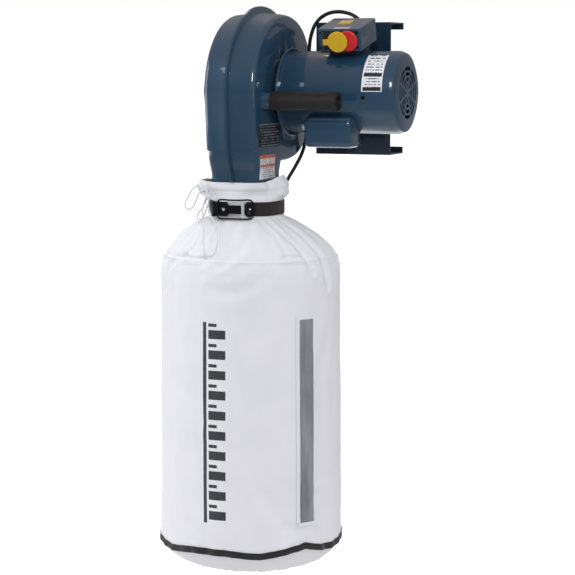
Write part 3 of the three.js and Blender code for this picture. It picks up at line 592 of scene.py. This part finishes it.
def along(table, v):
    """Straight steps through a table of pairs, eased between its points."""
    for (a, p), (b, q) in zip(table, table[1:]):
        low, high = min(a, b), max(a, b)
        if low <= v <= high:
            return p + (q - p) * (abs(v - a) / (high - low))
    return table[0][1] if abs(v - table[0][0]) < abs(v - table[-1][0]) else table[-1][1]


def turn_gap(angle, middle):
    """The signed angle from middle to angle, in degrees, within half a turn."""
    return (angle - middle + 180) % 360 - 180


# Gathers round the neck: the angle of each fold's crest, its half width in degrees and its height.
GATHERS = [
    (-172, 6, 1.1), (-161, 4, 0.9), (-151, 4, 1.2), (-142, 4, 1.0), (-133, 3.5, 1.2), (-123, 4, 0.9),
    (-108, 7, 0.4), (-90, 8, 0.3), (-72, 7, 0.35), (-56, 6, 0.5), (-42, 5, 0.8), (-33, 4, 0.9),
    (-20, 5, 0.8), (-6, 7, 0.9), (12, 9, 1.0), (27, 6, 0.8), (42, 7, 1.0), (58, 6, 0.8),
    (74, 8, 1.0), (92, 6, 0.8), (108, 8, 1.0), (124, 6, 0.9), (140, 7, 1.0), (158, 6, 0.9),
    (176, 6, 0.8),
]


def gather(angle):
    """Rounded crests with sharp valleys between them, from 0 to about 1."""
    total = 0.0
    for middle, half, tall in GATHERS:
        gap = abs(turn_gap(angle, middle)) / half
        if gap < 1.6:
            total = max(total, tall * (1 - ease(gap, 0.1, 1.5)))
    return total


# Long creases: (angle, height) from end to end, half width in mm and depth in mm.
CREASES = [
    ([(-40, -248), (-35, -272), (-30, -302), (-26, -334), (-24, -350)], 6, 6.4),
    ([(-30, -318), (-37, -320), (-46, -319)], 4, 4.0),
    ([(-47, -250), (-43, -280), (-42, -317)], 6, 4.2),
    ([(-77, -252), (-79, -272), (-84, -298), (-91, -314), (-99, -322)], 10, 4.6),
    ([(-64, -255), (-69, -280), (-77, -306), (-88, -330)], 10, 4.0),
    ([(-100, -250), (-99, -268), (-97, -286)], 5, 3.4),
    ([(-113, -250), (-113, -270), (-112, -300), (-117, -321)], 5, 4.4),
    ([(-117, -320), (-125, -326), (-134, -352), (-139, -392)], 7, 3.6),
    ([(-117, -320), (-108, -323), (-98, -322)], 4, 3.4),
    ([(-135, -250), (-139, -275), (-140, -300), (-147, -330), (-150, -352)], 8, 5.0),
    ([(-158, -250), (-160, -285), (-163, -325)], 9, 4.6),
    ([(-20, -250), (-15, -285), (-12, -335), (-10, -380)], 9, 4.6),
    ([(12, -250), (14, -290), (12, -340)], 10, 4.6),
    ([(50, -250), (52, -300), (49, -350)], 10, 4.6),
    ([(95, -250), (92, -300), (96, -345)], 10, 4.6),
    ([(150, -250), (154, -300), (150, -360)], 10, 4.6),
    ([(-58, -352), (-66, -372), (-78, -384), (-92, -380)], 12, 2.4),
    ([(-122, -560), (-108, -590), (-100, -640)], 16, 1.8),
    ([(-12, -480), (-20, -560), (-17, -660)], 14, 2.0),
    ([(-46, -870), (-52, -820), (-60, -780)], 14, 2.2),
    ([(-14, -900), (-20, -860), (-22, -800)], 12, 2.6),
    ([(-33, -895), (-37, -865), (-45, -850)], 10, 3.0),
    ([(-96, -900), (-99, -870), (-108, -846)], 10, 2.2),
]


def crease_at(angle, z, radius):
    total = 0.0
    for points, half, depth in CREASES:
        nearest = 1e9
        for (a0, z0), (a1, z1) in zip(points, points[1:]):
            if not min(z0, z1) - 3 * half < z < max(z0, z1) + 3 * half:
                continue
            du = math.radians(turn_gap(a1, a0)) * radius
            dv = z1 - z0
            u = math.radians(turn_gap(angle, a0)) * radius
            v = z - z0
            t = min(1.0, max(0.0, (u * du + v * dv) / (du * du + dv * dv)))
            nearest = min(nearest, math.hypot(u - t * du, v - t * dv))
        if nearest < 3 * half:
            reach = nearest / half
            total += depth * (-math.exp(-reach * reach) + 0.35 * math.exp(-((reach - 1.7) ** 2) * 2))
    return total


def duct_reach(angle, z):
    """How far the outlet's outside stands from its own middle in one direction."""
    rounded = ease(-z, 160, 215)
    half_x, half_y = 54 + 13 * rounded, 60 + 7 * rounded
    power = 8 - 6 * ease(-z, 152, 204)
    turn = math.radians(angle)
    across, along_y = abs(math.cos(turn)) / half_x, abs(math.sin(turn)) / half_y
    return (across ** power + along_y ** power) ** (-1 / power)


def collar_reach(angle, z):
    """The gathered collar: drawn flat over the duct's front, bunched out at both sides and the back."""
    right = math.exp(-((turn_gap(angle, 5) / 25) ** 2))
    left = math.exp(-((turn_gap(angle, -160) / 26) ** 4))
    back = math.exp(-((turn_gap(angle, 92) / 60) ** 4))
    billow = math.sin(math.pi * min(1.0, max(0.0, (z + 216) / 50)))
    reach = duct_reach(angle, max(z, -215)) + 4.2
    reach += right * (9 + 11 * billow) + left * (7 + 14 * billow) + back * (6 + 4 * billow)
    valley = math.exp(-((turn_gap(angle, -29) / 4) ** 2))
    return reach - 3.0 * valley + gather(angle) * (0.8 + 5.2 * left + 2.6 * back), right, left


def bag_surface(angle, z):
    """A point of the bag's outside, in the machine's millimetres: x, y, z."""
    radius = along(BAG_SIDE, z)
    turn = math.radians(angle)
    way = Vector((math.cos(turn), math.sin(turn), 0))
    folds = gather(angle)
    above = ease(z, -217, -201)
    reach, right, left = collar_reach(angle, z)
    radius += above * (reach - radius)
    lift = (13 * right + 3 * left + 1.5 * folds * left) * ease(z, -204, -178)
    hem = math.exp(-(((z - HEM_Z) / 1.8) ** 2))
    radius -= 1.6 * hem
    radius += 0.9 * math.exp(-(((z - HEM_Z - 8) / 6.0) ** 2))
    below = ease(-z, 243, 256) * (1 - ease(-z, 262, 345))
    radius += below * (folds * 6.4 - 2.6)
    radius += crease_at(angle, z, max(radius, 60)) * ease(-z, 246, 256)
    radius -= 1.6 * math.exp(-(((z - SEAM_Z) / 1.7) ** 2))
    radius += 0.9 * math.exp(-(((z - SEAM_Z + 5) / 4.0) ** 2))
    body = ease(-z, 300, 420) * (1 - ease(-z, 900, 930))
    p = way * 1.7
    slow = noise.noise(Vector((p.x, p.y, z / 260)))
    quick = noise.noise(Vector((p.x * 3.1, p.y * 3.1, z / 95 + 7)))
    fine = noise.noise(Vector((p.x * 8, p.y * 8, z / 38 + 3)))
    radius += body * (1.9 * slow + 1.3 * quick + 0.45 * fine)
    shoulder = ease(-z, 250, 275) * (1 - ease(-z, 330, 400))
    radius += shoulder * (2.2 * quick + 1.2 * fine)
    sewn = along(BINDING, angle)
    pucker = math.exp(-(((z - sewn) / 24) ** 2))
    radius += pucker * 0.9 * math.sin(math.radians(angle) * 31 + 2 * quick)
    drop = (sewn + 903) * math.exp(-(((z + 903) / 34) ** 2))
    lower = ease(-z, 905, 945) * (3.0 * quick + 1.5 * fine) * min(1.0, radius / 90)
    sag = ease(-z, 244, 330)
    duct_shift = 5 * above * (1 - ease(-z, 160, 215))
    cx = NECK_X + (BAG_X - NECK_X) * sag
    cy = NECK_Y + (BAG_Y - NECK_Y) * sag - duct_shift
    radius *= 1 - 0.01 * math.cos(2 * (turn - 0.4)) * body
    return cx + way.x * radius, cy + way.y * radius, z + lift + drop + lower


def bag_heights():
    """Rows of the bag, close together where it folds."""
    rows, z = [], float(BAG_SIDE[0][0])
    while z > -968.0:
        rows.append(z)
        fine = z > -262 or -330 < z < -314 or -925 < z < -885
        z -= 2.2 if fine else (3.6 if z > -400 else (7.5 if -885 < z < -420 else 4.0))
    return rows + [BAG_SIDE[-1][0]]


COLUMNS = 264


def filter_bag():
    """Drawn down ring by ring from the hem, then moved to its folds and given its thickness."""
    heights = bag_heights()
    clear()
    bpy.ops.mesh.primitive_circle_add(
        vertices=COLUMNS, radius=0.08, location=(0, 0, heights[0] / 1000)
    )
    piece = bpy.context.object
    hold(piece)
    bpy.ops.object.transform_apply(location=True)
    bpy.ops.object.mode_set(mode="EDIT")
    bpy.ops.mesh.select_all(action="SELECT")
    for above, below in zip(heights, heights[1:]):
        bpy.ops.mesh.extrude_region_move(
            TRANSFORM_OT_translate={"value": (0, 0, (below - above) / 1000)}
        )
    bpy.ops.object.mode_set(mode="OBJECT")

    def fold(co):
        angle = math.degrees(math.atan2(co.y, co.x))
        return at(*bag_surface(angle, co.z * 1000))

    shaped(piece, fold)
    hold(piece)
    bpy.ops.object.mode_set(mode="EDIT")
    bpy.ops.mesh.select_all(action="DESELECT")
    bpy.ops.object.mode_set(mode="OBJECT")
    last = len(piece.data.vertices) - COLUMNS
    for v in piece.data.vertices[last:]:
        v.select = True
    bpy.ops.object.mode_set(mode="EDIT")
    bpy.ops.mesh.merge(type="CENTER")
    bpy.ops.object.mode_set(mode="OBJECT")
    outward(piece)
    applied(piece, "SOLIDIFY", thickness=0.0016, offset=-1)
    return smooth(settle(piece, "filter_bag", "machine", "bag_cloth", "bag_top", "bag_body"), 60)


def patch(name, angles, heights, lift, thickness, finish, across, up, *stands_for):
    """A strip that lies on the bag's outside."""
    piece = grid(across, up)

    def lay(co):
        angle = angles[0] + (angles[1] - angles[0]) * co.x
        z = heights[0] + (heights[1] - heights[0]) * co.y
        x, y, z = bag_surface(angle, z)
        turn = math.radians(angle)
        return at(x + lift * math.cos(turn), y + lift * math.sin(turn), z)

    shaped(piece, lay)
    applied(piece, "SOLIDIFY", thickness=thickness / 1000, offset=1)
    outward(piece)
    return smooth(settle(piece, name, "machine", finish, *stands_for), 50)


def bottom_binding():
    """Tape folded over the sewn edge: its section is carried round the bag on the waves of the seam."""
    steps = 300
    section = [
        (-0.3, 6.4), (1.3, 6.2), (2.6, 4.6), (3.1, 0), (2.7, -5.2), (1.4, -7.0), (-0.8, -7.2), (-1.4, 0),
    ]
    clear()
    bpy.ops.mesh.primitive_grid_add(x_subdivisions=steps, y_subdivisions=len(section), size=1)
    piece = bpy.context.object

    def carry(co):
        angle = -180 + 360 * (co.x + 0.5)
        out, up = section[round((co.y + 0.5) * len(section)) % len(section)]
        sewn = along(BINDING, angle)
        x, y, _ = bag_surface(angle, BINDING_Z)
        turn = math.radians(angle)
        ripple = 0.5 * math.sin(turn * 31) + 0.5 * math.sin(turn * 13 + 1)
        proud = out + 0.2 + ripple * 0.4
        return at(
            x + proud * math.cos(turn), y + proud * math.sin(turn), sewn + up + ripple * 0.4
        )

    shaped(piece, carry)
    outward(piece)
    return smooth(settle(piece, "bottom_binding", "machine", "binding_tape", "bag_binding"), 40)


THREAD_R, STITCH, STITCH_PITCH = 0.00055, 0.003, 0.0042


def stitches(name, path):
    """Short threads end to end along a path, each a little bar with eased ends."""
    clear()
    bpy.ops.mesh.primitive_cylinder_add(
        vertices=5, radius=THREAD_R, depth=STITCH, rotation=(0, math.pi / 2, 0)
    )
    seed = hold(bpy.context.object)
    bpy.ops.object.transform_apply(rotation=True)
    bpy.ops.object.mode_set(mode="EDIT")
    bpy.ops.mesh.select_all(action="SELECT")
    bpy.ops.mesh.bevel(offset=THREAD_R * 0.6, segments=1, affect="EDGES")
    bpy.ops.object.mode_set(mode="OBJECT")
    copies = []
    for place, way, out in path:
        copy = seed.copy()
        copy.data = seed.data.copy()
        bpy.context.scene.collection.objects.link(copy)
        side = out.cross(way).normalized()
        lifted = side.cross(way) * -1
        matrix = copy.matrix_world.copy()
        for row in range(3):
            matrix[row][0], matrix[row][1] = way.normalized()[row], side[row]
            matrix[row][2], matrix[row][3] = lifted.normalized()[row], place[row]
        copy.matrix_world = matrix
        copies.append(copy)
    bpy.data.objects.remove(seed)
    clear()
    for copy in copies:
        copy.select_set(True)
    bpy.context.view_layer.objects.active = copies[0]
    bpy.ops.object.join()
    return settle(bpy.context.object, name, "machine", "drawcord")


def bag_line(points, lift):
    """Places, directions and outward directions of stitches along a line of (angle, z) points."""
    placed = []
    for (a0, z0), (a1, z1) in zip(points, points[1:]):
        start, end = at(*bag_surface(a0, z0)), at(*bag_surface(a1, z1))
        count = max(1, round((end - start).length / STITCH_PITCH))
        for i in range(count):
            t = (i + 0.5) / count
            angle, z = a0 + (a1 - a0) * t, z0 + (z1 - z0) * t
            turn = math.radians(angle)
            out = Vector((math.cos(turn), math.sin(turn), 0))
            place = at(*bag_surface(angle, z)) + out * lift
            placed.append((place, (end - start).normalized(), out))
    return placed


WINDOW = (-37.0, -25.0, -438.0, -848.0)  # both angles, top and bottom
filter_bag()
bottom_binding()
a0, a1, top, bottom = WINDOW
patch("window_strip", (a0, a1), (bottom, top), 0.5, 0.5, "window_film", 16, 120, "bag_window")
FRAME_W = 1.7  # degrees of border each side of the film
FRAME_H = 6.0
for name, angles, heights, across, up in (
    ("window_border_left", (a0 - FRAME_W, a0 + 0.7), (bottom - FRAME_H, top + FRAME_H), 6, 130),
    ("window_border_right", (a1 - 0.7, a1 + FRAME_W), (bottom - FRAME_H, top + FRAME_H), 6, 130),
    ("window_border_top", (a0 - FRAME_W, a1 + FRAME_W), (top - 2, top + FRAME_H), 20, 6),
    ("window_border_foot", (a0 - FRAME_W, a1 + FRAME_W), (bottom - FRAME_H, bottom + 2), 20, 6),
):
    patch(name, angles, heights, 0.9, 0.8, "bag_cloth", across, up)

round_the_bag = range(-180, 181, 6)
left, right = a0 - 0.7, a1 + 0.7
high, middle, low = top + 4, (top + bottom) / 2, bottom - 4
window_line = [
    (left, high), (left, middle), (left, low), (right, low), (right, middle), (right, high), (left, high),
]
for name, line, lift in (
    ("hem_stitches", [(angle, HEM_Z - 1) for angle in round_the_bag], 0.0004),
    ("shoulder_stitches", [(angle, SEAM_Z - 5) for angle in round_the_bag], 0.0004),
    ("window_stitches", window_line, 0.0019),
):
    stitches(name, bag_line(line, lift))


# ---------------------------------------------------------------- belt and rivets
BELT_ENDS = (-68.0, 263.0)  # the buckle bridges the gap at the front
BELT_Z = -229


def belt():
    """Webbing pulled round the neck, its edges rounded, following the gathers a little."""
    steps = 220
    section = [
        (0, -13.2), (0.9, -14), (2.3, -13.8), (2.9, -12.4), (3.0, 0), (2.9, 12.4), (2.3, 13.8),
        (0.9, 14), (0, 13.2), (-0.1, 0),
    ]
    clear()
    bpy.ops.mesh.primitive_grid_add(x_subdivisions=steps, y_subdivisions=len(section), size=1)
    piece = bpy.context.object

    def carry(co):
        angle = BELT_ENDS[0] + (BELT_ENDS[1] - BELT_ENDS[0]) * (co.x + 0.5)
        out, up = section[round((co.y + 0.5) * len(section)) % len(section)]
        front = math.exp(-((turn_gap(angle, -88) / 42) ** 4))
        wave = (1 - front) * 0.5 * math.sin(math.radians(angle) * 9 + 0.6)
        radius = 74.1 + out + wave
        turn = math.radians(angle)
        tilt = (1 - front) * 1.2 * math.sin(turn * 2 + 0.5)
        return at(
            NECK_X + radius * math.cos(turn), NECK_Y + radius * math.sin(turn), BELT_Z + up + tilt
        )

    shaped(piece, carry)
    outward(piece)
    hold(piece)
    bpy.ops.object.mode_set(mode="EDIT")
    bpy.ops.mesh.select_all(action="SELECT")
    bpy.ops.mesh.fill_holes(sides=0)
    bpy.ops.object.mode_set(mode="OBJECT")
    return smooth(settle(piece, "belt", "machine", "webbing", "belt_strap"), 50)


def domed_rivet(name, place, way, radius, body):
    """A low domed head, turned to face way."""
    clear()
    bpy.ops.mesh.primitive_uv_sphere_add(segments=28, ring_count=12, radius=radius)
    piece = hold(bpy.context.object)
    bpy.ops.object.mode_set(mode="EDIT")
    bpy.ops.mesh.select_all(action="SELECT")
    bpy.ops.mesh.bisect(
        plane_co=(0, 0, 0.0004), plane_no=(0, 0, 1), use_fill=True, clear_inner=True
    )
    bpy.ops.object.mode_set(mode="OBJECT")
    for v in piece.data.vertices:
        v.co.z = v.co.z * 0.55 - 0.0002
    piece.rotation_euler = Vector(way).to_track_quat("Z", "Y").to_euler()
    piece.location = place
    return smooth(settle(piece, name, body, "bright_rivet"), 50)


belt()
domed_rivet("lever_rivet", at(-67.2, -164.3, BELT_Z), (0, -1, 0), 0.0034, "lever")
CATCH_TURN, PLATE_R = math.radians(28), 80.3
CATCH_WAY = (math.sin(CATCH_TURN), -math.cos(CATCH_TURN), 0)
domed_rivet(
    "catch_rivet", at(NECK_X + PLATE_R * CATCH_WAY[0], NECK_Y + PLATE_R * CATCH_WAY[1], BELT_Z),
    CATCH_WAY, 0.0026, "machine",
)


# ---------------------------------------------------------------- labels and screws
LABEL_T = 0.00025


def sticker(name, across, up, place, finish):
    piece = grid(across, up)
    shaped(piece, lambda co: place(co.x, co.y))
    applied(piece, "SOLIDIFY", thickness=LABEL_T, offset=1)
    outward(piece)
    return smooth(settle(piece, name, "machine", finish), 40)


def on_motor(x0, x1, low, high, radius):
    """The motor's wall between two places along it and two angles from the top."""
    def place(u, v):
        turn = math.radians(high + (low - high) * v)
        return at(x0 + (x1 - x0) * u, radius * math.cos(turn), radius * math.sin(turn))
    return place


rating = printed(
    "rating_plate_print", tint(232, 235, 240), tint(40, 44, 50),
    ("x", at(193, 0, 0).x, at(233, 0, 0).x), ("z", at(0, 0, 3).z, at(0, 0, 76).z),
    13, 0.42, tint(34, 38, 44), ((0.02, 0.12), (0.40, 0.5)),
)
sticker("rating_plate", 12, 24, on_motor(191.5, 234, 117, 178, 82.62), rating)

BOX_TILT = math.radians(14)
BOX_X, BOX_Y, BOX_Z, BOX_TALL = 94, -60, 81, 45


def on_box(x, y, z):
    """A place on the switch box, from its own tilted front corner."""
    c, s = math.cos(BOX_TILT), math.sin(BOX_TILT)
    return at(BOX_X + x, BOX_Y + y * c - z * s, BOX_Z + y * s + z * c)


def lid_patch(x0, x1, y0, y1):
    return lambda u, v: on_box(x0 + (x1 - x0) * u, y0 + (y1 - y0) * v, BOX_TALL + 0.2)


yellow_print = printed(
    "caution_print", tint(224, 190, 52), tint(60, 54, 40),
    ("x", at(122, 0, 0).x, at(146, 0, 0).x), ("y", at(0, -35, 0).y, at(0, 5, 0).y),
    7, 0.4, tint(52, 47, 38), ((0.05, 0.2),),
)
pink_print = printed(
    "notice_print", tint(214, 190, 196), tint(176, 88, 96),
    ("x", at(128, 0, 0).x, at(160, 0, 0).x), ("y", at(0, -72, 0).y, at(0, -58, 0).y),
    3, 0.4, tint(190, 70, 80), ((0.72, 0.92),),
)
sticker("lid_sticker", 8, 8, lid_patch(28, 52, 38, 74), yellow_print)
sticker("lid_notice", 8, 4, lid_patch(34, 66, 2, 15), pink_print)


def on_housing(name, y0, y1, low, high, finish):
    """A label pressed on to the housing's motor side."""
    piece = grid(24, 24)
    shaped(piece, lambda co: at(40, y0 + (y1 - y0) * co.x, low + (high - low) * co.y))
    wrap = hold(piece).modifiers.new("wrap", "SHRINKWRAP")
    wrap.target, wrap.wrap_method = nodes["housing_motor_half"], "PROJECT"
    wrap.use_project_x, wrap.use_negative_direction, wrap.use_positive_direction = True, True, False
    wrap.use_project_y = wrap.use_project_z = False
    wrap.offset = 0.0002
    bpy.ops.object.modifier_apply(modifier="wrap")
    applied(piece, "SOLIDIFY", thickness=LABEL_T, offset=0)
    outward(piece)
    return smooth(settle(piece, name, "machine", finish), 40)


spec_print = printed(
    "spec_print", tint(22, 24, 28), tint(150, 156, 164),
    ("y", at(0, -146, 0).y, at(0, -30, 0).y), ("z", at(0, 0, -107).z, at(0, 0, -59).z),
    9, 0.3, tint(120, 126, 134), ((0.9, 0.94),),
)
warning_print = printed(
    "warning_print", tint(228, 228, 232), tint(120, 122, 130),
    ("y", at(0, -134, 0).y, at(0, -56, 0).y), ("z", at(0, 0, -172).z, at(0, 0, -122).z),
    12, 0.4, tint(206, 98, 62), ((0.84, 0.99), (0.5, 0.6)),
)
on_housing("spec_label", -144, -36, -107, -60, spec_print)
on_housing("warning_label", -132, -58, -171, -123, warning_print)


SCREW_R = 0.0024


def pan_screw(name, place, way):
    """A low pan head with a cross recess."""
    clear()
    bpy.ops.mesh.primitive_cylinder_add(vertices=24, radius=SCREW_R, depth=0.0016)
    piece = hold(bpy.context.object)
    bpy.ops.object.mode_set(mode="EDIT")
    bpy.ops.mesh.select_all(action="SELECT")
    bpy.ops.mesh.bevel(offset=0.0004, segments=3, affect="EDGES")
    bpy.ops.object.mode_set(mode="OBJECT")
    for turn in (0, math.pi / 2):
        clear()
        bpy.ops.mesh.primitive_cube_add(size=1, location=(0, 0, 0.0008), rotation=(0, 0, turn))
        blade = bpy.context.object
        blade.scale = (SCREW_R * 1.3, SCREW_R * 0.28, 0.0012)
        piece.modifiers.new("recess", "BOOLEAN").object = blade
        hold(piece)
        bpy.ops.object.modifier_apply(modifier="recess")
        bpy.data.objects.remove(blade)
    piece.rotation_euler = Vector(way).to_track_quat("Z", "Y").to_euler()
    piece.location = place
    return smooth(settle(piece, name, "machine", "black_steel"), 40)


FRONT_WAY = (0, -math.cos(BOX_TILT), -math.sin(BOX_TILT))
for i, (x, z) in enumerate(((83.5, 38), (83.5, 8), (6.5, 38), (6.5, 8))):
    pan_screw("box_screw_" + str(i + 1), on_box(x, -0.6, z), FRONT_WAY)


# ---------------------------------------------------------------- studio
FLOOR_Z = -1.5


def studio():
    clear()
    bpy.ops.mesh.primitive_circle_add(
        vertices=96, radius=60, fill_type="NGON", location=(0, 0, FLOOR_Z)
    )
    floor = bpy.context.object
    floor.name = "studio_floor"
    pale = Finish("studio_floor", Roughness=0.9)
    # the floor glows white behind the machine, and is dimmer wherever the gloss would mirror it
    behind = (pale.y * math.cos(AZIMUTH) - pale.x * math.sin(AZIMUTH)).ramp(0.75, 1.1)
    bright = behind * (0.7 - pale.x - pale.y * 0.238).ramp(0.0, 0.22)
    far = ((pale.x * pale.x + pale.y * pale.y) ** 0.5).ramp(0.9, 1.6)
    pale.shader.inputs["Emission Strength"].default_value = 1.0
    pale.feed("Emission Color", pale.between((0.02, 0.02, 0.02, 1), (1, 1, 1, 1), bright))
    pale.feed("Base Color", pale.between(tint(238, 236, 234), tint(156, 156, 156), far))
    floor.data.materials.append(pale.material)

    world = bpy.data.worlds.new("studio")
    bpy.context.scene.world = world
    world.use_nodes = True
    tree = world.node_tree

    def joined(kind, links=(), **values):
        made = tree.nodes.new(kind)
        for key, value in values.items():
            made.inputs[key].default_value = value
        for key, output in links:
            tree.links.new(output, made.inputs[key])
        return made

    ambient = joined("ShaderNodeBackground", Color=(0.93, 0.93, 0.96, 1), Strength=0.82)
    backdrop = joined("ShaderNodeBackground", Color=(1, 1, 1, 1), Strength=1.0)
    # what the gloss mirrors: a dim room, warm overhead and warm to the right and behind
    around = tree.nodes.new("ShaderNodeTexCoord").outputs["Generated"]
    way = joined("ShaderNodeSeparateXYZ", ((0, around),))
    sideways = joined("ShaderNodeMapRange", (("Value", way.outputs["X"]),))
    sideways.inputs["From Max"].default_value = 0.5
    overhead = joined("ShaderNodeMapRange", (("Value", way.outputs["Z"]),))
    overhead.inputs["From Max"].default_value = 0.8
    room = (0.13, 0.15, 0.18, 1)
    for share, warm in ((sideways, (0.26, 0.2, 0.15, 1)), (overhead, (0.5, 0.42, 0.35, 1))):
        mixed = tree.nodes.new("ShaderNodeMix")
        mixed.data_type = "RGBA"
        tree.links.new(share.outputs[0], mixed.inputs[0])
        if isinstance(room, tuple):
            mixed.inputs[6].default_value = room
        else:
            tree.links.new(room, mixed.inputs[6])
        mixed.inputs[7].default_value = warm
        room = mixed.outputs[2]
    mirrored = joined("ShaderNodeBackground", (("Color", room),), Strength=1.0)
    path = tree.nodes.new("ShaderNodeLightPath").outputs
    gloss = joined("ShaderNodeMixShader", (
        (0, path["Is Glossy Ray"]), (1, ambient.outputs[0]), (2, mirrored.outputs[0])))
    seen = joined("ShaderNodeMixShader", (
        (0, path["Is Camera Ray"]), (1, gloss.outputs[0]), (2, backdrop.outputs[0])))
    tree.links.new(seen.outputs[0], tree.nodes["World Output"].inputs["Surface"])


def lamp(name, place, aim, size, power, colour=(1, 1, 1)):
    data = bpy.data.lights.new(name, "AREA")
    data.shape = "RECTANGLE"
    data.size, data.size_y = size
    data.energy, data.color = power, colour
    light = bpy.data.objects.new(name, data)
    bpy.context.scene.collection.objects.link(light)
    light.visible_camera = False
    light.location = place
    light.rotation_euler = (Vector(aim) - Vector(place)).to_track_quat("-Z", "Y").to_euler()


studio()
MIDDLE = (-0.1, -0.2, -0.45)
MOTOR = (-0.05, -0.256, -0.108)
lamp("key_strip", (0.79, -2.29, 0.78), MOTOR, (0.22, 0.5), 15)
lamp("left_softbox", (-3.2, -1.2, 0.2), MIDDLE, (1.6, 2.6), 40)
lamp("fill_softbox", (3.2, -2.2, 0.4), MIDDLE, (1.4, 2.4), 8)
lamp("top_window", (-0.8, 0.99, 1.37), MOTOR, (0.3, 0.3), 1.4, (1, 0.86, 0.74))
bpy.context.scene.view_settings.view_transform = "Standard"
